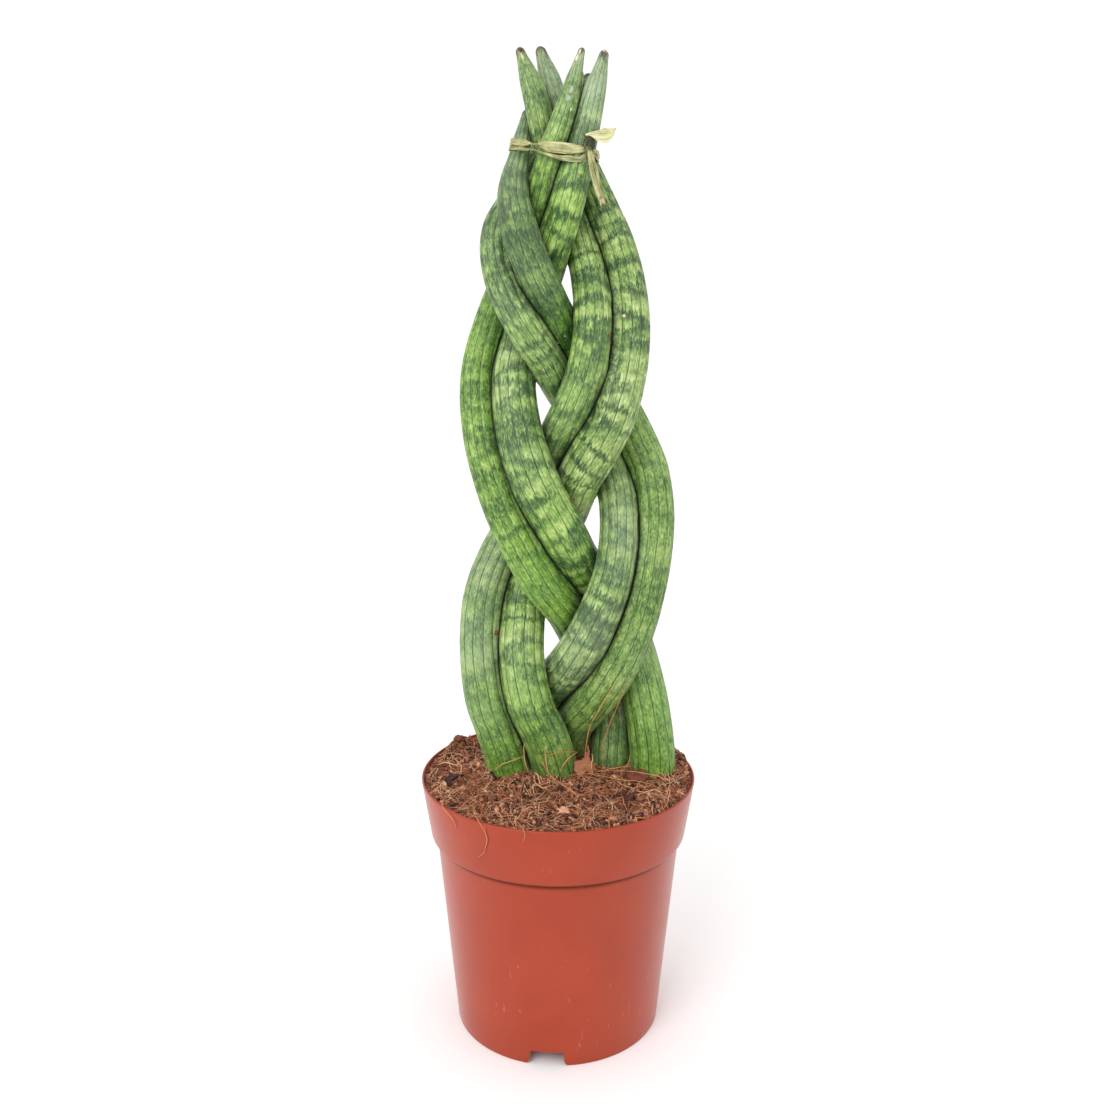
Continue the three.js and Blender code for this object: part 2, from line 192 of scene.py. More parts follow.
def wrapped(
    columns: int, rows: int, place: Place, layers: Sequence[str] = ()
) -> bmesh.types.BMesh:
    """Bends a grid into a closed skin.

    The grid's left and right edges meet, and so does each end where its row has no width.

    Args:
        columns: Faces round the skin.
        rows: Faces along it.
        place: Gives the point, and a vector for each layer, for a share of the way round
            and along.
        layers: Names of the vector attributes that it fills.

    Returns:
        The closed skin, with a UV map that is the grid's own.
    """
    bm = bmesh.new()
    bm.loops.layers.uv.new("UVMap")
    made = [bm.verts.layers.float_vector.new(name) for name in layers]
    bmesh.ops.create_grid(bm, x_segments=columns, y_segments=rows, size=0.5, calc_uvs=True)
    for vert in bm.verts:
        co, *values = place(vert.co.x + 0.5, vert.co.y + 0.5)
        vert.co = co
        for layer, value in zip(made, values):
            vert[layer] = value
    bmesh.ops.remove_doubles(bm, verts=bm.verts[:], dist=1e-7)
    bmesh.ops.recalc_face_normals(bm, faces=bm.faces[:])
    return bm


def copies(template: bmesh.types.BMesh, count: int) -> tuple[bmesh.types.BMesh, list[list]]:
    """Repeats a small shape in one bmesh, which is quick to bend copy by copy.

    Args:
        template: The shape to repeat, which is freed.
        count: The number of copies.

    Returns:
        The bmesh with a tone layer on its points, and each copy's points.
    """
    mesh = bpy.data.meshes.new("template")
    template.to_mesh(mesh)
    template.free()
    bm = bmesh.new()
    bm.verts.layers.float.new("tone")
    for _ in range(count):
        bm.from_mesh(mesh)
    size = len(mesh.vertices)
    bpy.data.meshes.remove(mesh)
    verts = list(bm.verts)
    return bm, [verts[i * size : (i + 1) * size] for i in range(count)]


def rod(sides: int, steps: int) -> bmesh.types.BMesh:
    """Makes a straight closed rod of unit radius, one unit long for each step.

    Args:
        sides: Its sides.
        steps: Its steps along +Z.

    Returns:
        The rod, standing on the origin.
    """
    bm = bmesh.new()
    bmesh.ops.create_circle(bm, cap_ends=True, segments=sides, radius=1)
    edges = bm.edges[:]
    for _ in range(steps):
        made = bmesh.ops.extrude_edge_only(bm, edges=edges)["geom"]
        verts = [item for item in made if isinstance(item, bmesh.types.BMVert)]
        bmesh.ops.translate(bm, verts=verts, vec=UP)
        edges = [
            item
            for item in made
            if isinstance(item, bmesh.types.BMEdge) and all(v in verts for v in item.verts)
        ]
    bmesh.ops.edgeloop_fill(bm, edges=edges)
    bmesh.ops.recalc_face_normals(bm, faces=bm.faces[:])
    return bm


def bend(verts: Sequence[bmesh.types.BMVert], path: Sequence[Vector], radius: float) -> None:
    """Bends a straight rod along a path and tapers it to both ends.

    Args:
        verts: The rod's points.
        path: A point for each of its steps, and one more.
        radius: Its radius at the middle.
    """
    last = len(path) - 1
    thin = 0.35  # a free end's share of the full radius
    frames = []
    for i, point in enumerate(path):
        ahead = (path[min(i + 1, last)] - path[max(i - 1, 0)]).normalized()
        side = ahead.cross(UP if abs(ahead.z) < 0.9 else Vector((1, 0, 0))).normalized()
        belly = math.sin(math.pi * (i + 0.6) / (last + 1.2))
        width = radius * (thin + (1 - thin) * belly)
        frames.append((point, side * width, ahead.cross(side) * width))
    for vert in verts:
        point, side, back = frames[min(round(vert.co.z), last)]
        vert.co = point + side * vert.co.x + back * vert.co.y


def curve_through(points: Sequence[Vector], steps: int) -> list[Vector]:
    """Runs a smooth curve through points.

    Args:
        points: The points that it passes, two at least.
        steps: The steps that it is divided into.

    Returns:
        Its points, one more than its steps.
    """
    path = []
    spans = len(points) - 1
    for k in range(steps + 1):
        i = min(k * spans // steps, spans - 1)
        t = k * spans / steps - i
        one, other = points[i], points[i + 1]
        before = points[i - 1] if i else 2 * one - other
        after = points[i + 2] if i + 2 < len(points) else 2 * other - one
        path.append(
            0.5
            * (
                2 * one
                + (other - before) * t
                + (2 * before - 5 * one + 4 * other - after) * t**2
                + (3 * one - before - 3 * other + after) * t**3
            )
        )
    return path


# ---------------------------------------------------------------- finishes


@dataclass(frozen=True)
class LeafSkin:
    """Skin of a round succulent leaf, grown with grey-green cross bands under a thin wax.

    The straight attribute holds the leaf as if it were unbent, in metres. The habit attribute
    holds the way to the tip, how plain the leaf is and how strong its bands are. A third
    attribute holds how lush its green is, how thick its bloom is, and how near another leaf is,
    which sets the painted shade in the seams between leaves.
    """

    slot: str = "leaf"
    ribs: int = 12
    band_mm: float = 10.5
    block_mm: float = 4.2
    streak_mm: float = 0.75
    mottle_mm: float = 1.6
    speckle_mm: float = 0.55
    patch_mm: float = 26.0
    comb_mm: float = 1.3
    strip_apart: float = 0.037
    line_share: float = 0.095
    band_edge: float = 0.45
    band_dark: float = 0.64
    block_share: float = 0.32
    ground: float = 0.22
    speckle_share: float = 0.4
    mottle_share: float = 0.27
    streak_share: float = 0.12
    patch_share: float = 0.1
    plain_dark: float = 0.26
    tones: float = 0.75

    def material(self) -> bpy.types.Material:
        """Makes the leaf material."""
        s = Shading("snake_plant_leaf_skin")
        straight = s.add("Attribute", output="Vector", attribute_name="straight")
        habit = s.add("Attribute", output="Vector", attribute_name="habit")
        to_tip, plain, banding = (s.add("SeparateXYZ", {0: habit}, axis) for axis in "XYZ")
        lush_bloom_shade = s.add("Attribute", output="Vector", attribute_name="lush_bloom_shade")
        lush, bloom, painted_seam_shade = (s.add("SeparateXYZ", {0: lush_bloom_shade}, axis) for axis in "XYZ")

        # Layers of grain about zero, packed closer across the leaf than along it.
        grain: dict[str, bpy.types.NodeSocket] = {}
        for layer, size, detail, along in (
            ("patches", self.patch_mm, 2, 1),
            ("streaks", self.streak_mm, 2, 0.1),
            ("mottle", self.mottle_mm, 3, 0.5),
            ("speckle", self.speckle_mm, 3, 0.4),
        ):
            space = s.add("Mapping", {"Vector": straight, "Scale": (1, 1, along)})
            cell = s.add("TexNoise", {"Vector": space, "Scale": cells(size), "Detail": detail})
            grain[layer] = s.add("MapRange", {0: cell, 1: 0.25, 2: 0.75, 3: -1, 4: 1})

        # Each rib is a strip between two dark lines, and its blocks of colour are its own.
        x, y, along = (s.add("SeparateXYZ", {0: straight}, axis) for axis in "XYZ")
        bearing = s.add("Math", {0: y, 1: x}, operation="ARCTAN2")
        sway = s.add("Math", {0: grain["patches"], 1: 0.1}, operation="MULTIPLY")
        ribs = s.add("Math", {0: bearing, 1: self.ribs / math.tau, 2: sway}, operation="MULTIPLY_ADD")
        strip = s.add("Math", {0: ribs}, operation="ROUND")
        strip = s.add("Math", {0: strip, 1: float(self.ribs)}, operation="FLOORED_MODULO")

        # Streaks shift each band's edge up and down like the teeth of a comb.
        for layer, shift in (("streaks", self.comb_mm), ("mottle", 0.6 * self.comb_mm)):
            along = s.add("Math", {0: grain[layer], 1: shift * MM, 2: along}, operation="MULTIPLY_ADD")
        apart = s.add("Math", {0: strip, 1: self.strip_apart}, operation="MULTIPLY")
        for layer, size, across in (
            ("bands", self.band_mm, {"X": x, "Y": y}),
            ("blocks", self.block_mm, {"X": apart}),
        ):
            space = s.add("CombineXYZ", {**across, "Z": along})
            reach = 0.25 if layer == "bands" else 1
            space = s.add("Mapping", {"Vector": space, "Scale": (reach, reach, 1)})
            cell = s.add("TexNoise", {"Vector": space, "Scale": cells(size), "Detail": 1})
            grain[layer] = s.add("MapRange", {0: cell, 1: 0.25, 2: 0.75, 3: -1, 4: 1})

        # The dark bands are narrow, and lie where one broad layer crosses zero. They are
        # darker, and thicker with dark cells.
        narrow = s.add("Math", {0: grain["bands"]}, operation="ABSOLUTE")
        narrow = s.add(
            "MapRange", {0: narrow, 1: 0, 2: self.band_edge, 3: 1, 4: 0}, interpolation_type="SMOOTHSTEP"
        )
        narrow = s.add("Math", {0: narrow, 1: banding}, operation="MULTIPLY")
        cells_apart = s.add("Math", {0: grain["speckle"], 1: self.speckle_share}, operation="MULTIPLY")
        cells_apart = s.add(
            "Math", {0: grain["mottle"], 1: self.mottle_share, 2: cells_apart}, operation="MULTIPLY_ADD"
        )
        crowded = s.add("MapRange", {0: narrow, 1: 0, 2: 1, 3: 0.85, 4: 1.5})
        tone = s.add(
            "Math",
            {0: grain["blocks"], 1: self.block_share, 2: self.ground},
            operation="MULTIPLY_ADD",
        )
        tone = s.add("Math", {0: tone, 1: banding}, operation="MULTIPLY")
        tone = s.add("Math", {0: cells_apart, 1: crowded, 2: tone}, operation="MULTIPLY_ADD")
        for layer, share in (
            (narrow, -self.band_dark),
            (grain["streaks"], self.streak_share),
            (grain["patches"], self.patch_share),
            (plain, -self.plain_dark),
        ):
            tone = s.add("Math", {0: layer, 1: share, 2: tone}, operation="MULTIPLY_ADD")
        tone = s.add("MapRange", {0: tone, 1: -self.tones, 2: self.tones, 3: 0, 4: 1})
        green = s.add(
            "ValToRGB",
            {0: tone},
            ramp=(
                (0.12, "2a4522"), (0.3, "46642f"), (0.46, "65823d"), (0.6, "849c53"), (0.76, "a6bb70"),
                (0.95, "cbd7a0"),
            ),
        )

        # Lush growth is a deeper green, without wax.
        deep = s.add(
            "ValToRGB",
            {0: tone},
            ramp=((0.12, "2a4d10"), (0.4, "52811f"), (0.62, "7ca92f"), (0.9, "adca5c")),
        )
        colour = s.add("Mix", {0: lush, 6: green, 7: deep}, 2, data_type="RGBA")

        # Wax: a pale grey-green film, uneven, and thin over the dark cells.
        film = s.add("MapRange", {0: grain["patches"], 1: -0.6, 2: 0.6, 3: 0.5, 4: 1.3})
        film = s.add("Math", {0: film, 1: bloom}, operation="MULTIPLY")
        shown = s.add("MapRange", {0: tone, 1: 0.1, 2: 0.6, 3: 0.55, 4: 1})
        film = s.add("Math", {0: film, 1: shown}, operation="MULTIPLY")
        colour = s.add("Mix", {0: film, 6: colour, 7: linear("a6b795")}, 2, data_type="RGBA")

        # Dark lines run in the grooves, and finer broken ones beside them.
        worn = s.add("MapRange", {0: grain["streaks"], 1: -0.6, 2: 0.3, 3: 0.55, 4: 1})
        for shift, strength, share in ((0.5, 0.85, 0.9), (0.21, 0.26, 0.5)):
            rib = s.add("Math", {0: ribs, 1: shift}, operation="ADD")
            off = s.add("Math", {0: rib, 1: 0.5}, operation="PINGPONG")
            line = s.add(
                "MapRange",
                {0: off, 1: 0.2 * self.line_share, 2: share * self.line_share, 3: strength, 4: 0},
            )
            line = s.add("Math", {0: line, 1: worn}, operation="MULTIPLY")
            colour = s.add("Mix", {0: line, 6: colour, 7: linear("1c3320")}, 2, data_type="RGBA")

        # Painted shade: the skin darkens where another leaf lies near, standing in for the shadow in the
        # seams between leaves, darkest in a thin line where they touch.
        for low, high, share in ((0.35, 0.95, 0.45), (0.86, 0.97, 0.85)):
            painted_shade = s.add(
                "MapRange",
                {0: painted_seam_shade, 1: low, 2: high, 3: 0, 4: share},
                interpolation_type="SMOOTHSTEP",
            )
            colour = s.add("Mix", {0: painted_shade, 6: colour, 7: linear("0b1a08")}, 2, data_type="RGBA")

        # The tip is dry and horny.
        dry = s.add("Math", {0: grain["mottle"], 1: 0.002, 2: to_tip}, operation="MULTIPLY_ADD")
        dry = s.add("MapRange", {0: dry, 1: 0.0014, 2: 0.0042, 3: 0.95, 4: 0})
        horn = s.add(
            "ValToRGB", {0: tone}, ramp=((0.3, "38312a"), (0.6, "5f5648"), (0.85, "988d74"))
        )
        colour = s.add("Mix", {0: dry, 6: colour, 7: horn}, 2, data_type="RGBA")

        rough = s.add("MapRange", {0: grain["speckle"], 1: -1, 2: 1, 3: 0.36, 4: 0.56})
        relief = s.add("Math", {0: grain["mottle"], 1: 0.5, 2: grain["streaks"]}, operation="MULTIPLY_ADD")
        normal = s.add("Bump", {"Strength": 0.3, "Distance": 0.0002, "Height": relief})
        s.set(
            s.surface,
            {
                "Base Color": colour,
                "Roughness": rough,
                "Normal": normal,
                "IOR": 1.45,
                "Sheen Weight": 0.12,
                "Sheen Roughness": 0.4,
                "Sheen Tint": linear("e2ead8"),
            },
        )
        return s.material


@dataclass(frozen=True)
class PotPlastic:
    """Injection-moulded polypropylene, dyed terracotta: semi-gloss, with scuffs and dust, and painted
    shade under its band.
    """

    slot: str = "pot_plastic"
    corner: float = BAND_FOOT_MM * MM

    def material(self) -> bpy.types.Material:
        """Makes the pot's plastic."""
        s = Shading("terracotta_polypropylene")
        spot = s.add("TexCoord", output="Object")
        clouds = s.add("TexNoise", {"Vector": spot, "Scale": cells(30), "Detail": 3})
        base = s.add("ValToRGB", {0: clouds}, ramp=((0.3, "9b3212"), (0.7, "a53917")))
        scuff_space = s.add("Mapping", {"Vector": spot, "Scale": (1, 1, 0.22)})
        scuffs = s.add(
            "TexNoise", {"Vector": scuff_space, "Scale": cells(1.6), "Detail": 3, "Roughness": 0.6}
        )
        scuffed = s.add("MapRange", {0: scuffs, 1: 0.66, 2: 0.74, 3: 0, 4: 0.5})
        few = s.add("MapRange", {0: clouds, 1: 0.46, 2: 0.58, 3: 0, 4: 1})
        scuffed = s.add("Math", {0: scuffed, 1: few}, operation="MULTIPLY")
        colour = s.add("Mix", {0: scuffed, 6: base, 7: linear("cf8a74")}, 2, data_type="RGBA")
        # Painted shade: the corner under the band is darkened and its reflection dimmed, standing in for
        # the shadow that the band casts.
        height = s.add("SeparateXYZ", {0: spot}, "Z")
        rise = s.add(
            "MapRange",
            {0: height, 1: self.corner - 0.003, 2: self.corner - 0.0003, 3: 0, 4: 0.85},
            interpolation_type="SMOOTHSTEP",
        )
        fall = s.add(
            "MapRange", {0: height, 1: self.corner + 0.0005, 2: self.corner + 0.0013, 3: 0.85, 4: 0}
        )
        shade = s.add("Math", {0: rise, 1: fall}, operation="MINIMUM")
        colour = s.add("Mix", {0: shade, 6: colour, 7: linear("4c190c")}, 2, data_type="RGBA")
        gloss = s.add("MapRange", {0: shade, 1: 0, 2: 0.8, 3: 0.42, 4: 0.04})
        rough = s.add("MapRange", {0: clouds, 1: 0.3, 2: 0.7, 3: 0.27, 4: 0.36})
        grain = s.add("TexNoise", {"Vector": spot, "Scale": cells(0.7), "Detail": 2})
        normal = s.add("Bump", {"Strength": 0.12, "Distance": 0.0001, "Height": grain})
        s.set(
            s.surface,
            {
                "Base Color": colour,
                "Roughness": rough,
                "Normal": normal,
                "IOR": 1.49,
                "Specular IOR Level": gloss,
                "Sheen Weight": 0.16,
                "Sheen Roughness": 0.3,
            },
        )
        return s.material


@dataclass(frozen=True)
class CoirSoil:
    """Potting mix of coir pith and peat: crumbly and matt, darker in its hollows, partly its own tone and
    partly painted shade.
    """

    slot: str = "soil"

    def material(self) -> bpy.types.Material:
        """Makes the soil's material."""
        s = Shading("coir_and_peat")
        spot = s.add("TexCoord", output="Object")
        crumbs = s.add(
            "TexNoise", {"Vector": spot, "Scale": cells(1.6), "Detail": 5, "Roughness": 0.7}
        )
        # Colour follows the bump's noise, so the hollows take the darkest browns: partly the pith's own
        # tone, partly painted shade.
        brown = s.add(
            "ValToRGB",
            {0: crumbs},
            ramp=((0.37, "1c0c07"), (0.46, "5c2e1e"), (0.55, "9f5d3d"), (0.68, "d3956d")),
        )
        patches = s.add("TexNoise", {"Vector": spot, "Scale": cells(14)})
        shade = s.add("MapRange", {0: patches, 1: 0.35, 2: 0.65, 3: 0.6, 4: 1.15})
        tint = s.add("CombineXYZ", {0: shade, 1: shade, 2: shade})
        colour = s.add(
            "Mix", {0: 1.0, 6: brown, 7: tint}, 2, data_type="RGBA", blend_type="MULTIPLY"
        )
        normal = s.add("Bump", {"Strength": 0.7, "Distance": 0.0007, "Height": crumbs})
        s.set(s.surface, {"Base Color": colour, "Normal": normal, "Roughness": 0.95})
        return s.material


@dataclass(frozen=True)
class Bits:
    """Small plant matter whose tone attribute gives each bit a shade of its own."""

    name: str
    slot: str
    shades: tuple[tuple[float, str], ...]
    fleck_mm: float = 0.5
    roughness: float = 0.85
    fleck_share: float = 0.3

    def material(self) -> bpy.types.Material:
        """Makes the material."""
        s = Shading(self.name)
        tone = s.add("Attribute", output="Fac", attribute_name="tone")
        spot = s.add("TexCoord", output="Object")
        flecks = s.add("TexNoise", {"Vector": spot, "Scale": cells(self.fleck_mm)})
        mixed = s.add("Math", {0: flecks, 1: self.fleck_share, 2: tone}, operation="MULTIPLY_ADD")
        mixed = s.add("Math", {0: mixed, 1: self.fleck_share / 2}, operation="SUBTRACT")
        colour = s.add("ValToRGB", {0: mixed}, ramp=self.shades)
        s.set(s.surface, {"Base Color": colour, "Roughness": self.roughness})
        return s.material

    def lay(self, name: str, bm: bmesh.types.BMesh) -> None:
        """Makes a piece of this matter.

        Args:
            name: The piece's name.
            bm: Its shape, with the tone layer filled. It is freed.
        """
        settle(finished(name, bm, self.material()), self.slot)


@dataclass(frozen=True)
class Raffia:
    """Split and dried palm leaf: a matt, fibrous ribbon, olive-gold with dark and pale fibres."""

    slot: str = "raffia"
    fibre_mm: float = 0.45

    def material(self) -> bpy.types.Material:
        """Makes the material.

        The strip attribute is metres along and across the ribbon, and how dark it is.
        """
        s = Shading("raffia_ribbon")
        strip = s.add("Attribute", output="Vector", attribute_name="strip")
        dark = s.add("SeparateXYZ", {0: strip}, "Z")
        space = s.add("Mapping", {"Vector": strip, "Scale": (0.06, 1, 0)})
        fibres = s.add("TexNoise", {"Vector": space, "Scale": cells(self.fibre_mm), "Detail": 3})
        flat = s.add("Mapping", {"Vector": strip, "Scale": (1, 1, 0)})
        blotches = s.add("TexNoise", {"Vector": flat, "Scale": cells(5)})
        tone = s.add("Math", {0: blotches, 1: 0.7, 2: fibres}, operation="MULTIPLY_ADD")
        tone = s.add("Math", {0: tone, 1: 0.35}, operation="SUBTRACT")
        tone = s.add("Math", {0: tone, 1: dark}, operation="SUBTRACT")
        colour = s.add(
            "ValToRGB",
            {0: tone},
            ramp=((0.1, "25290f"), (0.28, "5f6136"), (0.44, "8f8f5a"), (0.6, "b3b07c"), (0.8, "d8d3a2")),
        )
        scorched = s.add("MapRange", {0: dark, 1: -0.3, 2: -0.35, 3: 0, 4: 0.55})
        colour = s.add("Mix", {0: scorched, 6: colour, 7: linear("ab6f48")}, 2, data_type="RGBA")
        normal = s.add("Bump", {"Strength": 0.7, "Distance": 0.0003, "Height": fibres})
        s.set(s.surface, {"Base Color": colour, "Normal": normal, "Roughness": 0.55})
        return s.material


class Matter(Enum):
    """The kinds of small matter: coir and bark in the potting mix, and healed marks on leaves."""

    CRUMB = Bits(
        "coir_pith_crumb",
        "soil",
        ((0.0, "170a06"), (0.33, "54291b"), (0.65, "a76648"), (1.0, "e8ac87")),
    )
    FIBRE = Bits(
        "coir_fibre",
        "soil",
        ((0.0, "7a4028"), (0.35, "bb7a52"), (0.7, "e0a980"), (1.0, "f6d0a9")),
    )
    LONG_FIBRE = Bits(
        "long_coir_fibre",
        "soil",
        ((0.0, "b4663b"), (0.5, "d7945f"), (1.0, "efc092")),
    )
    BARK = Bits(
        "coir_husk_and_bark",
        "soil",
        ((0.0, "241614"), (0.3, "5f2f20"), (0.55, "8f5238"), (0.8, "b07a55"), (1.0, "c9966b")),
        fleck_mm=1.2,
    )
    # A healed mark runs from corky brown to a dried drop of pale wax.
    SCAR = Bits(
        "healed_leaf_scar",
        "leaf",
        ((0.0, "4a2a1a"), (0.25, "96502f"), (0.5, "cf8f6c"), (0.75, "e9e0c8"), (1.0, "98a898")),
        roughness=0.7,
    )


# ---------------------------------------------------------------- leaves


@dataclass
class Leaf:
    """One ribbed leaf, lofted finely along the line of its solid."""

    node: str
    number: int
    banding: Rows = ((0, 1.0),)
    plain: tuple[float, float] = (2.0, 3.0)
    lush: Rows = ((0, 0.5),)
    bloom: Rows = ((0, 0.1),)
    marks: Rows = ()
    ribs: int = 12
    rib_depth: float = 0.55 * MM
    rib_share: float = 0.07
    across: int = 96
    steps: int = 6
    dome_rows: int = 8
    swell: float = 0.22 * MM
    tip_taper: float = 0.24
    tip_length: float = 13 * MM
    twined: tuple[float, float] = (3.4 * MM, 2.0 * MM)
    crossing: tuple[float, float] = (1.5 * MM, 0.7 * MM)
    hair: float = 0.04 * MM
    painted_shade_reach: float = 6 * MM
    groove_power: float = 1.6
    uneven: float = 0.012
    pattern_apart: float = 0.6
    mark_low: float = 0.12
    mark_high: float = 0.55
    middles: list[Vector] = field(default_factory=list)
    radii: list[float] = field(default_factory=list)
    lengths: list[float] = field(default_factory=list)
    first_side: Vector = field(default_factory=Vector)

    def measure(self) -> None:
        """Reads the rings of the solid from its foot to its tip and smooths a line through them."""
        bm = bmesh.new()
        bm.from_mesh(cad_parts[self.node].data)
        bmesh.ops.remove_doubles(bm, verts=bm.verts[:], dist=1e-6)
        bm.verts.index_update()
        poles = [v for v in bm.verts if len(v.link_edges) == 2 * self.ribs]
        layer = [min(poles, key=lambda v: v.co.z)]
        seen = set(layer)
        rings: list[list[Vector]] = []
        while layer:
            around = {e.other_vert(v) for v in layer for e in v.link_edges} - seen
            seen |= around
            layer = sorted(around, key=lambda v: v.index)
            if len(layer) == 2 * self.ribs:
                rings.append([v.co.copy() for v in layer])
        bm.free()
        dome = 2  # the solid's last rings round off its tip
        rings = rings[:-dome]
        middles = [sum(ring, Vector()) / len(ring) for ring in rings]
        radii = [max((co - m).length for co in ring) for ring, m in zip(rings, middles)]
        crests = [co for co in rings[0] if (co - middles[0]).length > radii[0] - 0.02 * MM]
        crest = max(crests, key=lambda co: co.x)
        self.first_side = crest - middles[0]
        knots = [Vector((*middle, radius)) for middle, radius in zip(middles, radii)]
        rows = curve_through(knots, self.steps * (len(knots) - 1))
        self.middles = [Vector(row[:3]) for row in rows]
        self.radii = [row[3] for row in rows]
        self.lengths = [0.0]
        for one, other in zip(self.middles, self.middles[1:]):
            self.lengths.append(self.lengths[-1] + (other - one).length)

    def stations(self) -> list[tuple[Vector, Vector, Vector, float, float, float]]:
        """Gives each row its middle, two sides, radius, width share and length from the foot."""
        rows = []
        last = len(self.middles) - 1
        side = self.first_side.normalized()
        ahead = (self.middles[1] - self.middles[0]).normalized()
        rows.append((self.middles[0], side, ahead.cross(side), self.radii[0], 0.0, 0.0))
        for i, middle in enumerate(self.middles):
            toward = self.middles[min(i + 1, last)] - self.middles[max(i - 1, 0)]
            toward.normalize()
            side = ahead.rotation_difference(toward) @ side
            side = (side - toward * side.dot(toward)).normalized()
            ahead = toward
            rows.append((middle, side, ahead.cross(side), self.radii[i], 1.0, self.lengths[i]))
        end, radius = self.middles[-1], self.radii[-1]
        for k in range(1, self.dome_rows + 1):
            turn = k * math.pi / 2 / self.dome_rows
            reach = radius * math.sin(turn)
            share = max(math.cos(turn), 0.0) if k < self.dome_rows else 0.0
            length = self.lengths[-1] + reach
            rows.append((end + ahead * reach, side, ahead.cross(side), radius, share, length))
        return rows

    def build(self, skin: bpy.types.Material, others: Sequence[Leaf]) -> bpy.types.Object:
        """Lofts the leaf and writes what its skin reads.

        Args:
            skin: The leaf material.
            others: The other leaves, already measured.

        Returns:
            The leaf's object.
        """
        rows = self.stations()
        last = len(rows) - 1
        whole = rows[-1][5]
        low, high = self.plain

        def place(around: float, along: float) -> tuple[Vector, Vector, Vector]:
            """Gives a point of the skin, and its straight and habit values."""
            middle, side, back, radius, share, length = rows[round(along * last)]
            angle = round(around * self.across) * math.tau / self.across
            cos, sin = math.cos(angle), math.sin(angle)
            groove = min(self.rib_depth, self.rib_share * radius)
            cut = groove * (0.5 - 0.5 * math.cos(self.ribs * angle)) ** self.groove_power
            bulge = 1 + self.uneven * noise.noise(middle * 60 + Vector((cos, 7, 3)))
            bulge -= self.tip_taper * eased(-self.tip_length, 0, length - whole)
            out = (radius * bulge - cut + self.swell * share) * share
            straight = Vector((radius * cos, radius * sin, length + self.pattern_apart * self.number))
            plain = eased(low, high, length / whole)
            bands = float(np.interp(length / MM, *zip(*self.banding)))
            habit = Vector((whole - length, plain, bands))
            return middle + side * (out * cos) + back * (out * sin), straight, habit

        bm = wrapped(self.across, last, place, ("straight", "habit"))
        obj = finished(self.node + "_skin", bm, skin)
        self.press(obj, others)
        settle(obj, LeafSkin.slot, self.node)
        return obj

    def press(self, obj: bpy.types.Object, others: Sequence[Leaf]) -> None:
        """Swells the skin towards the leaves it nearly touches, and writes how it grows.

        It also writes how near the other leaves are, which the skin paints as shade in the seams.

        Args:
            obj: The leaf's object.
            others: The other leaves, already measured.
        """
        mesh = obj.data
        spots = positions(obj)
        gap = np.full(len(spots), 1.0, np.float32)
        toward = np.zeros_like(spots)
        start = np.full(len(spots), self.crossing[0], np.float32)
        whole_at = np.full(len(spots), self.crossing[1], np.float32)
        for other in others:
            line = np.array(other.middles[::2], np.float32)
            radii = np.array(other.radii[::2], np.float32)
            far = np.sqrt(((spots[:, None, :] - line[None]) ** 2).sum(2))
            reach = far - radii[None]
            nearest = reach.argmin(1)
            least = reach[np.arange(len(spots)), nearest]
            closer = least < gap
            gap[closer] = least[closer]
            toward[closer] = line[nearest[closer]] - spots[closer]
            mate = other.node[:-1] == self.node[:-1]
            start[closer], whole_at[closer] = self.twined if mate else self.crossing
        toward /= np.maximum(np.linalg.norm(toward, axis=1, keepdims=True), 1e-9)
        share = np.clip((start - gap) / (start - whole_at), 0, 1)
        push = 0.5 * (gap - self.hair) * share * share * (3 - 2 * share)
        spots += toward * push[:, None]
        mesh.vertices.foreach_set("co", spots.ravel())
        mesh.update()
        lengths = np.empty(len(mesh.vertices) * 3, np.float32)
        mesh.attributes["straight"].data.foreach_get("vector", lengths)
        lengths = (lengths[2::3] - self.pattern_apart * self.number) / MM
        lush_bloom_shade = np.empty((len(mesh.vertices), 3), np.float32)
        lush_bloom_shade[:, 0] = np.interp(lengths, *zip(*self.lush))
        lush_bloom_shade[:, 1] = np.interp(lengths, *zip(*self.bloom))
        # Nearness of another leaf, which the skin paints as shade in the seams.
        lush_bloom_shade[:, 2] = 1 - np.clip((gap - 2 * push) / self.painted_shade_reach, 0, 1)
        attribute = mesh.attributes.new("lush_bloom_shade", "FLOAT_VECTOR", "POINT")
        attribute.data.foreach_set("vector", lush_bloom_shade.ravel())

    def scars(self, skin: bpy.types.Object) -> None:
        """Lays the leaf's healed marks on its skin.

        A mark's row is its place, its length along the leaf and its width, all in millimetres,
        and its tone. Dark corky marks stand out the most.

        Args:
            skin: The leaf's object.
        """
        if not self.marks:
            return
        surface = BVHTree.FromObject(skin, bpy.context.evaluated_depsgraph_get())
        ball = bmesh.new()
        bmesh.ops.create_icosphere(ball, subdivisions=3, radius=1)
        bm, spots = copies(ball, len(self.marks))
        tone = bm.verts.layers.float["tone"]
        for verts, (x, y, z, length, width, shade) in zip(spots, self.marks):
            place, out, *_ = surface.find_nearest(Vector((x, y, z)) * MM)
            at = min(range(len(self.middles)), key=lambda i: (self.middles[i] - place).length)
            at = min(max(at, 1), len(self.middles) - 1)
            along = (self.middles[at] - self.middles[at - 1]).normalized()
            across = along.cross(out).normalized()
            high = self.mark_low + self.mark_high * (1 - shade) ** 4
            for vert in verts:
                rough = 1 + 0.45 * noise.noise(vert.co * 1.3 + place * 900)
                rough += 0.25 * noise.noise(vert.co * 3.1 + place * 900)
                reach = vert.co * rough * MM
                spot = place + along * (reach.x * length / 2) + across * (reach.y * width / 2)
                near, normal, *_ = surface.find_nearest(spot)
                vert.co = near + normal * (high * reach.z - self.hair)
                vert[tone] = shade
        Matter.SCAR.value.lay(self.node + "_scars", bm)


# ---------------------------------------------------------------- pot


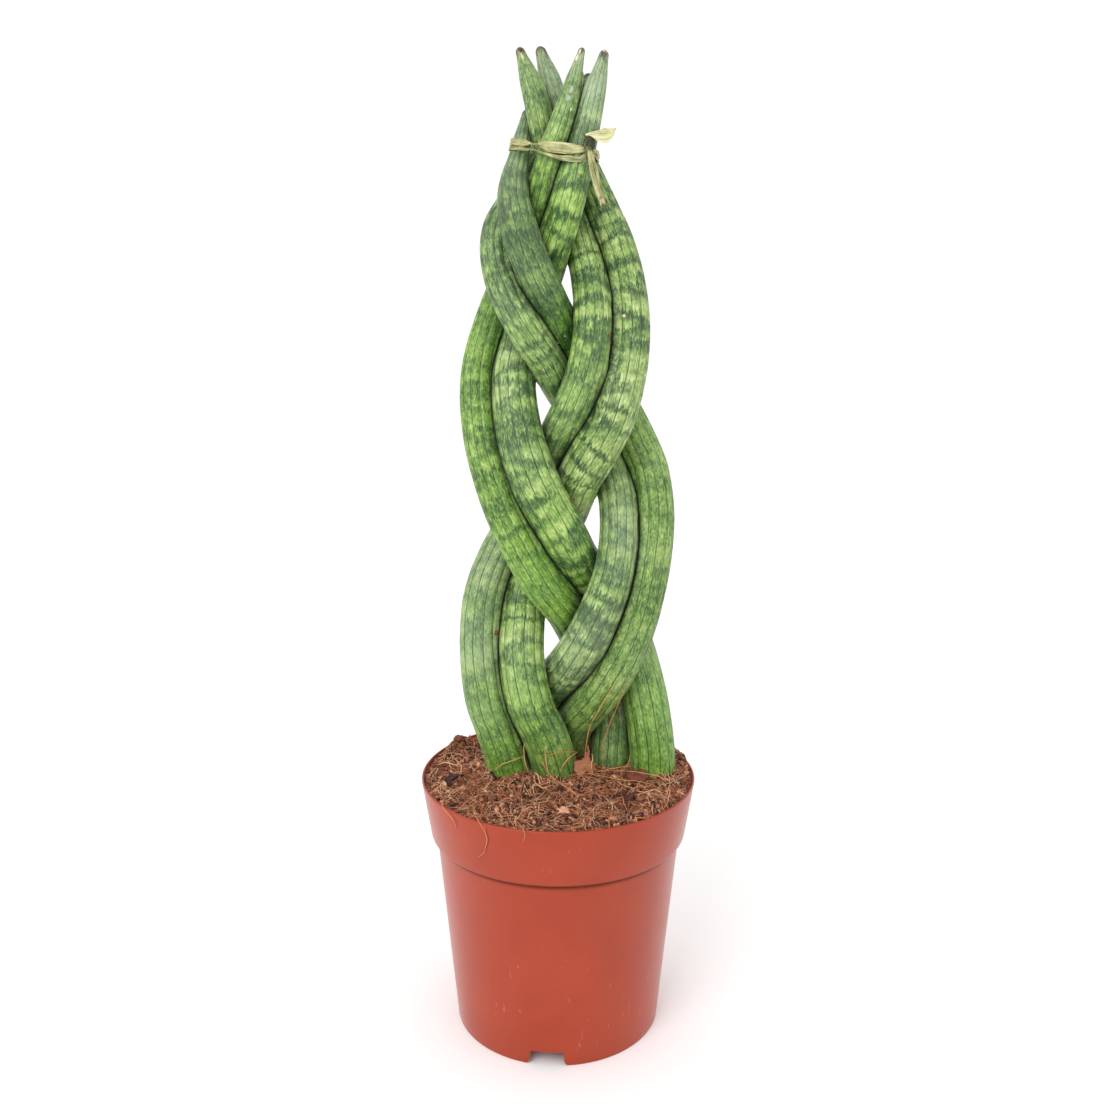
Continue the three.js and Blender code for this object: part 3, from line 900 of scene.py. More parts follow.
@dataclass
class Pot:
    """The stepped nursery pot, spun from one outline, with foot notches and drain holes."""

    height: float = RIM_MM * MM
    rim_radius: float = RIM_RADIUS_MM * MM
    band_foot: float = BAND_FOOT_MM * MM
    band_foot_radius: float = BAND_FOOT_RADIUS_MM * MM
    shoulder_radius: float = 53.7 * MM
    foot_top: float = 9 * MM
    foot_radius: float = 46.4 * MM
    foot_lean: float = 0.8 * MM
    wall: float = 0.9 * MM
    floor: float = 7.2 * MM
    floor_thickness: float = 1.4 * MM
    steps: int = 192
    notch_bearings: tuple[float, ...] = (-95.7, 24.3, 144.3)
    notch_top: float = 14.1 * MM
    notch_foot: float = 14.9 * MM
    notch_height: float = 6.8 * MM
    notch_flare: float = 2.6 * MM
    notch_proud: float = 2 * MM
    notch_depth: float = 6 * MM
    drains: int = 4
    drain_radius: float = 5 * MM
    drain_depth: float = 8 * MM
    drain_ring: float = 26 * MM
    sharp_degrees: float = 32

    @staticmethod
    def rounded(outline: Sequence[Row], segments: int = 5) -> list[tuple[float, float]]:
        """Rounds the corners of a closed outline.

        Args:
            outline: Corners as radius, height and how far back the rounding starts.
            segments: Points for each rounded corner.

        Returns:
            The rounded outline's points.
        """
        points = []
        for i, (x, z, cut) in enumerate(outline):
            corner = Vector((x, z))
            if cut == 0:
                points.append((x, z))
                continue
            before = Vector(outline[i - 1][:2]) - corner
            after = Vector(outline[(i + 1) % len(outline)][:2]) - corner
            start = corner + before.normalized() * cut
            end = corner + after.normalized() * cut
            for k in range(segments + 1):
                t = k / segments
                point = start * (1 - t) ** 2 + corner * (2 * t * (1 - t)) + end * t**2
                points.append((point.x, point.y))
        return points

    def outline(self) -> list[tuple[float, float]]:
        """Gives the wall's outline as radius and height, from the floor's middle outwards."""
        wall, foot = self.wall, self.foot_radius
        return self.rounded(
            [
                (0, self.floor, 0),
                (foot - wall - self.foot_lean / 2, self.floor, 0.5 * MM),
                (foot - wall - self.foot_lean, 0, 0.3 * MM),
                (foot - self.foot_lean, 0, 0.4 * MM),
                (foot, self.foot_top, 3 * MM),
                (self.shoulder_radius, self.band_foot, 0.4 * MM),
                (self.band_foot_radius, self.band_foot, 1.7 * MM),
                (self.rim_radius, self.height, 0.7 * MM),
                (self.rim_radius - wall, self.height, 0.5 * MM),
                (self.band_foot_radius - wall, self.band_foot + wall, 0.5 * MM),
                (self.shoulder_radius - wall, self.band_foot - wall, 0.5 * MM),
                (foot - wall, self.floor + self.floor_thickness, 1 * MM),
                (0, self.floor + self.floor_thickness, 0),
            ]
        )

    def cutters(self) -> bpy.types.Object:
        """Builds the shapes that the notches and drain holes leave."""
        bm = bmesh.new()
        half, top, flare = self.notch_foot / 2, self.notch_top / 2, self.notch_flare
        right = [(half + flare, -1 * MM, 0), (half + flare, 0, 0)]
        curve_steps = 6
        for k in range(1, curve_steps + 1):
            turn = k * math.pi / 2 / curve_steps
            right.append((half + flare * (1 - math.sin(turn)), flare * (1 - math.cos(turn)), 0))
        right += [(top, self.notch_height, 0.8 * MM)]
        outline = [*right, *[(-x, z, cut) for x, z, cut in reversed(right)]]
        for bearing in self.notch_bearings:
            turn = Matrix.Rotation(math.radians(bearing + 90), 4, "Z")
            inner = self.notch_depth - self.foot_radius - self.notch_proud
            edge = [turn @ Vector((x, inner, z)) for x, z in self.rounded(outline, 3)]
            face = bm.faces.new([bm.verts.new(co) for co in edge])
            made = bmesh.ops.extrude_face_region(bm, geom=[face])["geom"]
            outer = [item for item in made if isinstance(item, bmesh.types.BMVert)]
            bmesh.ops.translate(bm, verts=outer, vec=turn @ Vector((0, -self.notch_depth, 0)))
        for i in range(self.drains):
            turn = (i + 0.5) * math.tau / self.drains
            spot = (self.drain_ring * math.cos(turn), self.drain_ring * math.sin(turn), self.floor)
            bmesh.ops.create_cone(
                bm,
                cap_ends=True,
                segments=48,
                radius1=self.drain_radius,
                radius2=self.drain_radius,
                depth=self.drain_depth,
                matrix=Matrix.Translation(spot),
            )
        bmesh.ops.recalc_face_normals(bm, faces=bm.faces[:])
        mesh = bpy.data.meshes.new("pot_cutters")
        bm.to_mesh(mesh)
        bm.free()
        return bpy.data.objects.new("pot_cutters", mesh)

    def build(self) -> None:
        """Spins the wall, cuts the notches and holes and dresses the pot."""
        plastic = PotPlastic()
        bm = bmesh.new()
        verts = [bm.verts.new((radius, 0, height)) for radius, height in self.outline()]
        edges = [bm.edges.new(pair) for pair in zip(verts, verts[1:])]
        bmesh.ops.spin(
            bm,
            geom=[*verts, *edges],
            cent=(0, 0, 0),
            axis=(0, 0, 1),
            angle=math.tau,
            steps=self.steps,
            use_merge=True,
        )
        bmesh.ops.remove_doubles(bm, verts=bm.verts[:], dist=1e-6)
        bmesh.ops.recalc_face_normals(bm, faces=bm.faces[:])
        pot = finished("nursery_pot", bm, plastic.material())
        cutters = self.cutters()
        bpy.context.collection.objects.link(cutters)
        cut = pot.modifiers.new("cut", "BOOLEAN")
        cut.operation, cut.solver, cut.object = "DIFFERENCE", "EXACT", cutters
        whole = pot.evaluated_get(bpy.context.evaluated_depsgraph_get())
        carved = bpy.data.meshes.new_from_object(whole)
        pot.modifiers.clear()
        bpy.data.objects.remove(cutters)
        pot.data = carved
        carved.shade_smooth()
        carved.set_sharp_from_angle(angle=math.radians(self.sharp_degrees))
        settle(pot, plastic.slot, "pot")


# ---------------------------------------------------------------- soil


@dataclass
class Soil:
    """Coir potting mix: a heaped, crumbly bed with crumbs, fibres, husk and bark.

    All its sizes are in millimetres. Lying fibres are routes to the right and back.
    """

    rim: float = 114.0
    dome: float = 3.0
    lump: float = 1.1
    roughness: Rows = ((0.8, 0.19), (0.75, 0.47), (0.45, 1.1))
    sunk: float = 0.2
    heaps: Rows = ((54, 15, 3.4, 16), (53, 27, 1.4, 8), (-47, 32, 2.6, 8), (-46, 31, 1.6, 3))
    edge: float = 58.6
    under: Rows = ((0, 9), (45.0, 9), (52.4, 87.5), (54.8, 90.3), (57.9, 109.6))
    around: int = 420
    rings: int = 96
    crumbs: int = 4200
    crumb_least: float = 0.28
    crumb_spread: float = 0.85
    fibres: int = 1700
    fibre_length: Row = (4, 16)
    fibre_radius: Row = (0.08, 0.17)
    long_radius: Row = (0.17, 0.29)
    seed: int = 11
    lying: tuple[Rows, ...] = (
        ((20.6, -10.2), (27.4, -17.2), (35.4, -25.2), (42.6, -23.4), (45.5, -38.3)),
        ((28.6, -11.9), (39.6, -6.5), (45.9, -12.3), (47.7, -19.4), (44.9, -35.1)),
        ((14.5, -7), (18, -4.5), (26.6, -6), (31.9, -9)),
        ((4.7, -9.7), (10.4, -10.9), (19, -14.3)),
        ((26.8, -19.5), (26.7, -30.8), (28.7, -45.2)),
        ((19.9, -41.6), (20.4, -50.9), (20.5, -57)),
        ((30, -45.8), (33.6, -46.8), (37.4, -44)),
        ((-8.5, -5), (-5.1, -9), (-2.1, -12.6), (4.6, -25.4), (8.7, -30.9)),
        ((-21.9, -39.7), (-19.2, -50.1), (-17, -55)),
        ((-16.8, -55.2), (-16.6, -49.1), (-11.4, -40.7), (-6.9, -43.8), (-3.7, -41.7)),
        ((-34.8, -32.2), (-31.6, -23.3), (-28.5, -11.6)),
        ((-48.8, 16.9), (-44.5, 8), (-42.9, 0.4), (-43.2, -8.2)),
        ((-11.8, -12), (-7.2, -22), (-2.5, -17.4)),
        ((38, 30), (30, 38), (18, 40), (6, 46)),
        ((-8, 34), (-20, 30), (-30, 36), (-36, 30)),
        ((10, 26), (2, 36), (-6, 48)),
    )
    standing: tuple[Rows, ...] = (
        ((11.6, -6.4, 122), (12, -7.4, 130.1), (13.7, -9, 139), (15.9, -11.4, 145), (20.5, -15, 155.5),
         (24.3, -18, 163.3)),
        ((19.3, -9.5, 118), (19.4, -9.4, 125.6), (19.5, -9.8, 132.4), (21.4, -10.8, 139.6),
         (25.4, -13.4, 151.1), (29.1, -16.1, 161.4)),
        ((14.8, -8, 116), (14.6, -9.5, 122), (14.9, -9.8, 127)),
        ((-14.6, -9.3, 131.4), (-14.7, -8, 124.2), (-12.9, -7.6, 117.4)),
        ((-5.7, -16, 132.9), (-5.2, -14, 125.8), (-4.0, -13.2, 119)),
        ((-28.2, -8.2, 118.3), (-24.1, -11.4, 123.0), (-15.0, -10.6, 126)),
        ((-5.2, -14.6, 128.4), (0.6, -13.6, 129.5), (8.5, -7, 127)),
        ((31.3, -5, 125), (30.7, -6, 121.1), (27.0, -6.5, 117.8)),
        ((14.9, -7.7, 117.6), (22.2, -8, 119.4), (31.3, -6.4, 120.3)),
        ((40.6, -13, 119), (44.2, -12, 117.5), (47.5, -12, 115.4)),
        ((-8.7, -13.8, 128.3), (-5, -13, 121.3), (-2.3, -14, 117.5), (-0.1, -20, 116.4),
         (0.6, -31.4, 117)),
        ((-8.1, -13, 125.4), (-2.9, -13.5, 118.4), (2.9, -22.6, 118.2), (9.6, -30.8, 117.3)),
        ((4.1, -10.7, 117.8), (14.7, -10.6, 118.2), (25, -16.3, 118.3), (37.7, -17.9, 117.4),
         (45.1, -24.3, 116.4)),
        ((24, -6.6, 118.4), (33.8, -9.8, 118.8), (44.1, -11.9, 117.4), (48.0, -14.7, 116.4),
         (44.4, -30.1, 115.5)),
        ((8.5, -6, 126.4), (3.5, -10.4, 124.3), (0.9, -12.2, 119.8)),
        ((-10.6, -8.6, 118.1), (-9, -12, 118.3), (-7.4, -18.6, 116.9)),
        ((-30.7, -15.7, 116.0), (-22.4, -18.7, 117.5), (-16.5, -21.7, 116.4)),
        ((-54.4, 6.3, 114.8), (-50.1, 6.5, 116.2), (-43.6, 1.1, 116.4)),
        ((28.6, -29, 117), (33, -24, 118.2), (41, -22, 117.8)),
    )
    hanging: tuple[Rows, ...] = (
        ((-131, -9, 116.4), (-127, -3, 117.4), (-121.5, 0.5, 115.8), (-118.6, 0.6, 109.8),
        (-120, 0.6, 103.2), (-122.6, 0.6, 99.6), (-124, 0.6, 97.2)), ((-149, -5, 116.6),
        (-142, 0.3, 115.9), (-136, 0.6, 112.3), (-134.2, 0.5, 108.4)), ((-107, -4, 116.8),
        (-103, 0.5, 115.8), (-102.4, 0.6, 113), (-103.3, 0.6, 110.3)),
    )
    hanging_shade: float = 0.25
    wander: float = 0.35
    fibre_steps: int = 26
    chips: tuple[tuple[Rows, float], ...] = (
        (((7.3, -8.4, 119.8), (9.2, -10.8, 117.7), (12.2, -9.4, 118.5), (15.9, -10.6, 117.5),
        (15.2, -8.2, 119.6), (17.0, -7.0, 121.4), (14.6, -7.6, 122.0), (13.6, -6.2, 125.0),
        (12.9, -6.4, 126.6), (12.7, -6.2, 131.5), (12.0, -6.8, 126.8), (10.9, -6.4, 124.4),
        (9.9, -7.8, 123.4), (8.1, -6.8, 122.8)), 0.7), (((29.4, -8.2, 117.7), (33, -6, 119.4),
        (37.5, -7, 119.2), (39.4, -11, 118), (37.4, -14, 117.2), (31.1, -12.4, 117.2)), 0.42),
        (((-46.6, -18.1, 116.6), (-48.1, -12.4, 117), (-45.9, -7.6, 117.4), (-45, -11.5, 117.3)), 0.08),
        (((-44.5, -9.5, 117.2), (-42.1, -5.1, 117.8), (-41.4, -8.0, 117.4), (-43.7, -12.4, 117)), 0.16),
        (((24.2, -26.4, 117.2), (29.7, -24.7, 118), (31.9, -30.9, 117.2), (26.9, -33.9, 116.8)), 0.2),
        (((10, 32, 117.5), (18, 30, 118), (16, 37, 117.5), (11, 38, 117)), 0.4), (((-30, 26, 117.5),
        (-24, 22, 117.8), (-22, 28, 118), (-27, 31, 117)), 0.2),
    )
    clods: Rows = (
        (2.6, -40.5, 2.5, 0.95), (-46, 30, 2.2, 0.45), (34, -30, 1.8, 0.55), (-20, -28, 1.6, 0.6),
        (22, -48, 1.5, 0.75), (-36, -8, 1.7, 0.5), (48, 12, 1.9, 0.5), (5, 44, 2.0, 0.6),
        (-12, 40, 1.6, 0.4), (47, -20, 1.4, 0.7),
    )

    def level(self, x: float, y: float) -> float:
        """Gives the bed's height at a place, all in millimetres, without its crumbs."""
        waves = (
            math.sin(0.17 * x + 1.1) * math.cos(0.21 * y - 0.4)
            + 0.5 * math.sin(0.43 * x - 0.3 * y)
            + 0.35 * math.cos(0.71 * y + 0.37 * x)
        )
        out = math.hypot(x, y) / RIM_RADIUS_MM
        heaped = sum(
            height * math.exp(-((x - right) ** 2 + (y - back) ** 2) / spread**2)
            for right, back, height, spread in self.heaps
        )
        dome = self.dome * (1 - out**2) + self.lump * waves * (1 - min(out, 1) ** 8)
        return self.rim + dome + heaped

    def surface(self, x: float, y: float) -> float:
        """Gives the crumbly surface's height at a place, in millimetres."""
        spot = Vector((x, y, 0))
        rough = sum(high * noise.noise(spot * fine) for high, fine in self.roughness)
        return self.level(x, y) + rough - self.sunk

    def bed(self) -> None:
        """Builds the bed of soil, closed underneath."""
        finish = CoirSoil()
        under = len(self.under)

        def place(around: float, along: float) -> tuple[Vector]:
            """Gives a point of the bed."""
            turn = around * math.tau
            row = round(along * (self.rings + under))
            if row < under:
                radius, height = self.under[row]
            else:
                radius = self.edge * (1 - (row - under) / self.rings)
                height = self.surface(radius * math.cos(turn), radius * math.sin(turn))
            return (Vector((radius * math.cos(turn), radius * math.sin(turn), height)) * MM,)

        bm = wrapped(self.around, self.rings + under, place)
        obj = finished("potting_mix", bm, finish.material())
        settle(obj, finish.slot, "soil")

    def spot(self, draw: random.Random) -> tuple[float, float]:
        """Draws an even place on the bed, in millimetres."""
        radius = (self.edge - 1.2) * math.sqrt(draw.random())
        turn = draw.random() * math.tau
        return radius * math.cos(turn), radius * math.sin(turn)

    def loose_crumbs(self) -> None:
        """Scatters irregular crumbs of pith over the bed."""
        draw = random.Random(self.seed)
        ball = bmesh.new()
        bmesh.ops.create_icosphere(ball, subdivisions=1, radius=1)
        bm, crumbs = copies(ball, self.crumbs)
        tone = bm.verts.layers.float["tone"]
        for crumb in crumbs:
            x, y = self.spot(draw)
            size = self.crumb_least + self.crumb_spread * draw.random() ** 3
            middle = Vector((x, y, self.surface(x, y) + 0.25 * size))
            turn = Quaternion([draw.gauss(0, 1) for _ in range(4)]).normalized()
            stretch = Vector((draw.uniform(0.8, 2.1), 1, draw.uniform(0.3, 0.75))) * size
            shade = draw.random()
            for vert in crumb:
                jag = Vector([draw.uniform(-0.34, 0.34) * size for _ in range(3)])
                vert.co = (middle + turn @ (vert.co * stretch) + jag) * MM
                vert[tone] = shade
        Matter.CRUMB.value.lay("soil_crumbs", bm)

    def curled_fibres(self) -> None:
        """Strews short curled fibres over the bed."""
        draw = random.Random(self.seed + 1)
        steps = 8
        bm, strands = copies(rod(3, steps), self.fibres)
        tone = bm.verts.layers.float["tone"]
        for verts in strands:
            x, y = self.spot(draw)
            length = draw.uniform(*self.fibre_length)
            heading = draw.random() * math.tau
            curl = draw.gauss(0, 0.16)
            arch = draw.uniform(0.1, 1.3)
            path = []
            for k in range(steps + 1):
                lift = 0.25 + arch * math.sin(math.pi * k / steps) * draw.uniform(0.7, 1)
                path.append(Vector((x, y, self.surface(x, y) + lift)) * MM)
                heading += curl + draw.gauss(0, 0.1)
                step = Vector((math.cos(heading), math.sin(heading))) * (length / steps)
                if (Vector((x, y)) + step).length > self.edge - 0.6:
                    heading += 0.5 * math.pi
                    step = -step
                x, y = x + step.x, y + step.y
            bend(verts, path, draw.uniform(*self.fibre_radius) * MM)
            shade = draw.random()
            for vert in verts:
                vert[tone] = shade
        Matter.FIBRE.value.lay("coir_fibres", bm)

    def band_radius(self, height: float) -> float:
        """Gives the radius of the pot's band at a height, in millimetres."""
        rise = min(height, RIM_MM) - BAND_FOOT_MM
        flare = RIM_RADIUS_MM - BAND_FOOT_RADIUS_MM
        return BAND_FOOT_RADIUS_MM + flare * rise / (RIM_MM - BAND_FOOT_MM)

    def long_fibres(self) -> None:
        """Lays the long fibres: on the bed, up against the leaves and down over the rim."""
        routes = [
            [
                Vector((x, y, self.surface(x, y) + (0.3 if i in (0, len(route) - 1) else 1.0)))
                for i, (x, y) in enumerate(route)
            ]
            for route in self.lying
        ]
        routes += [[Vector(point) + 0.4 * UP for point in route] for route in self.standing]
        for route in self.hanging:
            points = []
            for bearing, off, height in route:
                turn = math.radians(bearing)
                radius = self.band_radius(height) + off
                points.append(Vector((radius * math.cos(turn), radius * math.sin(turn), height)))
            routes.append(points)
        draw = random.Random(self.seed + 2)
        bm, strands = copies(rod(6, self.fibre_steps), len(routes))
        tone = bm.verts.layers.float["tone"]
        for number, (verts, route) in enumerate(zip(strands, routes)):
            path = curve_through(route, self.fibre_steps)
            for i, point in enumerate(path):
                wander = noise.noise_vector(point * 0.35 + Vector((number, 0, 0)))
                path[i] = (point + self.wander * wander) * MM
            bend(verts, path, draw.uniform(*self.long_radius) * MM)
            shade = draw.random()
            if number >= len(routes) - len(self.hanging):
                shade *= self.hanging_shade
            for vert in verts:
                vert[tone] = shade
        Matter.LONG_FIBRE.value.lay("long_coir_fibres", bm)

    @staticmethod
    def chip(outline: Sequence[Row], shade: float, thickness: float = 0.5) -> bpy.types.Mesh:
        """Makes one thin, crumpled chip of husk or bark.

        Args:
            outline: Its corners.
            shade: Its tone.
            thickness: Its thickness.

        Returns:
            The chip's mesh, with a tone attribute.
        """
        bm = bmesh.new()
        tone = bm.verts.layers.float.new("tone")
        face = bm.faces.new([bm.verts.new(Vector(corner) * MM) for corner in outline])
        face.normal_update()
        away = face.normal * thickness * MM
        faces = bmesh.ops.triangulate(bm, faces=[face])["faces"]
        made = bmesh.ops.extrude_face_region(bm, geom=faces)["geom"]
        top = [item for item in made if isinstance(item, bmesh.types.BMVert)]
        bmesh.ops.translate(bm, verts=top, vec=away)
        bmesh.ops.subdivide_edges(bm, edges=bm.edges[:], cuts=5, use_grid_fill=True)
        bmesh.ops.recalc_face_normals(bm, faces=bm.faces[:])
        for vert in bm.verts:
            wave = noise.noise_vector(vert.co * 380) * 1.5 * MM
            vert.co += wave + noise.noise_vector(vert.co * 1100) * 0.5 * MM
            vert[tone] = shade
        mesh = bpy.data.meshes.new("chip")
        bm.to_mesh(mesh)
        bm.free()
        return mesh

    def husks(self) -> None:
        """Lays the papery husk against the leaves, and the bark chips on the bed."""
        bm = bmesh.new()
        for outline, shade in self.chips:
            mesh = self.chip(outline, shade)
            bm.from_mesh(mesh)
            bpy.data.meshes.remove(mesh)
        Matter.BARK.value.lay("husk_and_bark_chips", bm)

    def lumps(self) -> None:
        """Lays larger lumps of pith on the bed."""
        ball = bmesh.new()
        bmesh.ops.create_icosphere(ball, subdivisions=3, radius=1)
        bm, balls = copies(ball, len(self.clods))
        tone = bm.verts.layers.float["tone"]
        for verts, (x, y, size, shade) in zip(balls, self.clods):
            middle = Vector((x, y, self.surface(x, y) + 0.35 * size))
            for vert in verts:
                rough = 0.95 + 0.75 * noise.noise(vert.co * 1.9 + middle)
                rough += 0.45 * noise.noise(vert.co * 4.3 + middle)
                reach = Vector((vert.co.x * 1.1, vert.co.y * 0.75, vert.co.z * 0.6)) * size * rough
                vert.co = (middle + reach) * MM
                vert[tone] = shade
        Matter.CRUMB.value.lay("soil_clods", bm)

    def build(self) -> None:
        """Builds the bed and all that lies on it."""
        self.bed()
        self.loose_crumbs()
        self.curled_fibres()
        self.long_fibres()
        self.husks()
        self.lumps()


# ---------------------------------------------------------------- tie


@dataclass(frozen=True)
class Station:
    """One place along a ribbon: its middle, the ways across and outwards, and its width."""

    middle: Vector
    side: Vector
    facing: Vector
    width: float


@dataclass
class Tie:
    """A raffia ribbon: two turns round the leaves, a knot and two loose ends.

    Rows are in millimetres. The turns' rows give, from left to right across the front, the
    place to the right, the height, the width and the twist in degrees.
    """

    leaves: Sequence[bpy.types.Object]
    cloud: np.ndarray | None = None
    fabric: bpy.types.Material | None = None
    thickness: float = 0.3 * MM
    along: int = 300
    around: int = 20
    grip: float = 1.3 * MM
    near: float = 0.9 * MM
    above: float = 0.35
    slack: float = 0.8
    upper_lift: float = 0.55 * MM
    lower_lift: float = 0.25 * MM
    twist_lift: float = 0.3
    crease: float = 0.24
    fold: float = 0.22
    fray: float = 0.12
    upper: Rows = (
        (-18.7, 379.4, 3.0, 0), (-14, 378.4, 3.2, 8), (-11.3, 377.8, 3.0, 20), (-8.4, 377.3, 1.7, 70),
        (-7.2, 377.2, 1.4, 95), (-5.8, 376.8, 2.9, 155), (-4.2, 376.4, 4.0, 180), (-0.6, 376.0, 4.3, 182),
        (4.0, 375.5, 4.1, 180), (8.9, 375.3, 2.5, 185), (10.6, 374.8, 1.3, 180),
    )
    lower: Rows = (
        (-18.7, 377.1, 2.3, 0), (-14, 376.4, 2.2, 0), (-11.3, 375.9, 1.9, 10), (-8.6, 375.3, 1.1, 40),
        (-5.5, 373.8, 1.2, 10), (-0.6, 372.4, 1.7, 0), (4.0, 371.9, 2.4, 0), (7.8, 371.7, 2.4, 0),
        (10.6, 373.6, 1.2, 0),
    )
    wrap: Rows = (
        (-0.6, 0.2, 2.6, 1.6), (-0.2, 1.2, 1.5, 2.4), (0.1, 1.6, -0.3, 2.7), (0.3, 1.2, -2.3, 2.4),
        (0.3, 0.1, -3.9, 1.8),
    )
    bow: Rows = (
        (-0.5, 0.6, 0.5, 1.5), (-0.8, 1.3, 1.9, 2.4), (-0.3, 1.9, 3.2, 2.9), (0.7, 2.0, 3.6, 3.0),
        (1.4, 1.4, 2.8, 2.6), (1.3, 0.8, 1.2, 2.0), (0.7, 0.5, -0.4, 1.3),
    )
    raised: Rows = (
        (-1.2, 2.0, 5.6, 0.6), (0.8, 2.3, 5.8, 1.6), (3.2, 2.7, 5.4, 3.7), (5.7, 3.0, 5.2, 5.4),
        (7.6, 3.1, 5.9, 4.3), (9.4, 3.2, 7.2, 1.6), (10.3, 3.2, 7.7, 0.4),
    )
    hanging: Rows = (
        (0.2, 1.2, 0.8, 1.6), (0.9, 1.9, -2.2, 2.3), (1.8, 1.7, -6, 3.2), (3.1, 1.1, -10.8, 3.2),
        (4.4, 0.5, -15.2, 2.9), (5.1, 0.2, -17.4, 2.4),
    )
    prongs: tuple[Rows, ...] = (
        ((4.6, 0.5, -15.6, 1.5), (4.9, 0.5, -17.4, 1.7), (5.2, 0.7, -19.6, 0.9)),
        ((5.5, 0.6, -17.4, 1.1), (6.0, 0.6, -18.6, 1.1), (6.6, 0.7, -19.7, 0.4)),
        ((4.9, 0.6, -17.8, 0.9), (5.0, 0.7, -19.0, 0.8), (4.8, 0.9, -20.2, 0.3)),
    )

    def loop(self, rows: Sequence[Row]) -> list[Vector]:
        """Finds the line that a tight ribbon takes round the leaves.

        Args:
            rows: The ribbon's rows, whose ends give how it slopes.

        Returns:
            Even points on that line, anticlockwise from above.
        """
        (left, high, *_), (right, low, *_) = rows[0], rows[-1]
        slope = (low - high) / (right - left)
        spots = []
        for leaf in self.leaves:
            co = positions(leaf)
            level = high * MM + slope * (co[:, 0] - left * MM)
            spots += [Vector(p[:2]) for p in co[np.abs(co[:, 2] - level) < self.grip]]
        hull = [spots[i] for i in convex_hull_2d(spots)]
        lengths = [(b - a).length for a, b in zip(hull, hull[1:] + hull[:1])]
        step = sum(lengths) / self.along
        points, at, left = [], 0, 0.0
        for _ in range(self.along):
            while left > lengths[at]:
                left -= lengths[at]
                at += 1
            one, other = hull[at], hull[(at + 1) % len(hull)]
            points.append(one.lerp(other, left / lengths[at]))
            left += step
        area = sum(a.cross(b) for a, b in zip(points, points[1:] + points[:1]))
        return points if area > 0 else points[::-1]

    @staticmethod
    def read(rows: Sequence[Row], right: float) -> list[float]:
        """Reads a row's values at a place to the right, evenly between rows."""
        return [
            float(np.interp(right, [row[0] for row in rows], [row[i] for row in rows]))
            for i in range(1, len(rows[0]))
        ]

    def outermost(self, facing: Vector, level: float) -> float:
        """Says how far out the leaves reach in one direction, near one level."""
        if self.cloud is None:
            cloud = np.concatenate([positions(leaf) for leaf in self.leaves])
            self.cloud = cloud[cloud[:, 2] > self.above]
        near = self.cloud[np.abs(self.cloud[:, 2] - level) < self.near]
        return float((near[:, 0] * facing.x + near[:, 1] * facing.y).max())

    def turn(self, rows: Sequence[Row], lift: float) -> list[Station]:
        """Lays one turn of ribbon round the leaves, from the knot to the knot.

        Args:
            rows: Its height, width and twist across the front.
            lift: How far it lies off the leaves.

        Returns:
            Its stations.
        """
        points = self.loop(rows)
        knot = min(
            range(len(points)),
            key=lambda i: (points[i].y > 0, abs(points[i].x - rows[-1][0] * MM)),
        )
        points = points[knot:] + points[:knot]
        left = min(range(len(points)), key=lambda i: points[i].x)
        first, last = rows[-1], rows[0]
        stations = []
        for i, point in enumerate(points):
            ahead = points[(i + 3) % len(points)] - points[i - 3]
            facing = Vector((ahead.y, -ahead.x, 0)).normalized()
            if i < left:
                share = i / left
                level = self.read((last[:2], first[:2]), point.x / MM)[0]
                width = first[2] + (last[2] - first[2]) * share
                width += self.slack * math.sin(math.pi * share)
                twist = first[3] * (1 - eased(0.5, 0.75, share))
            else:
                level, width, twist = self.read(rows, point.x / MM)
            reach = 0.5 * width * MM
            over = self.outermost(facing, level * MM + reach)
            below = self.outermost(facing, level * MM - reach)
            upright = (UP * (2 * reach) + facing * (over - below)).normalized()
            turned = Matrix.Rotation(math.radians(twist), 3, facing.cross(UP))
            middle = Vector((point.x, point.y, level * MM))
            middle += facing * (0.5 * (over + below) - middle.dot(facing))
            middle += facing * (lift + abs(math.sin(math.radians(twist))) * width * self.twist_lift * MM)
            side, out = turned @ upright, turned @ upright.cross(UP.cross(facing))
            stations.append(Station(middle, side, out.normalized(), width * MM))
        return stations

    def end(self, knot: Vector, rows: Sequence[Row]) -> list[Station]:
        """Lays a loose end from rows of right, front, up and width, from the knot."""
        knots = [Vector((right, -front, up, width)) * MM for right, front, up, width in rows]
        path = curve_through(knots, 8 * (len(rows) - 1))
        stations = []
        for i, row in enumerate(path):
            ahead = (path[min(i + 1, len(path) - 1)] - path[max(i - 1, 0)]).to_3d().normalized()
            side = Vector((0.2, -1, 0.15)).cross(ahead).normalized()
            stations.append(Station(knot + row.to_3d(), side, ahead.cross(side), max(row[3], 0)))
        return stations

    def ribbon(
        self, name: str, stations: Sequence[Station], number: int, dark: float
    ) -> bpy.types.Object:
        """Builds a thin fibrous ribbon along its stations.

        Args:
            name: The piece's name.
            stations: Its stations.
            number: Picks its creases.
            dark: How much darker than the rest it is, or paler below zero.

        Returns:
            The ribbon's object.
        """
        rows = len(stations) + 1
        lengths = [0.0]
        for one, other in zip(stations, stations[1:]):
            lengths.append(lengths[-1] + (other.middle - one.middle).length)

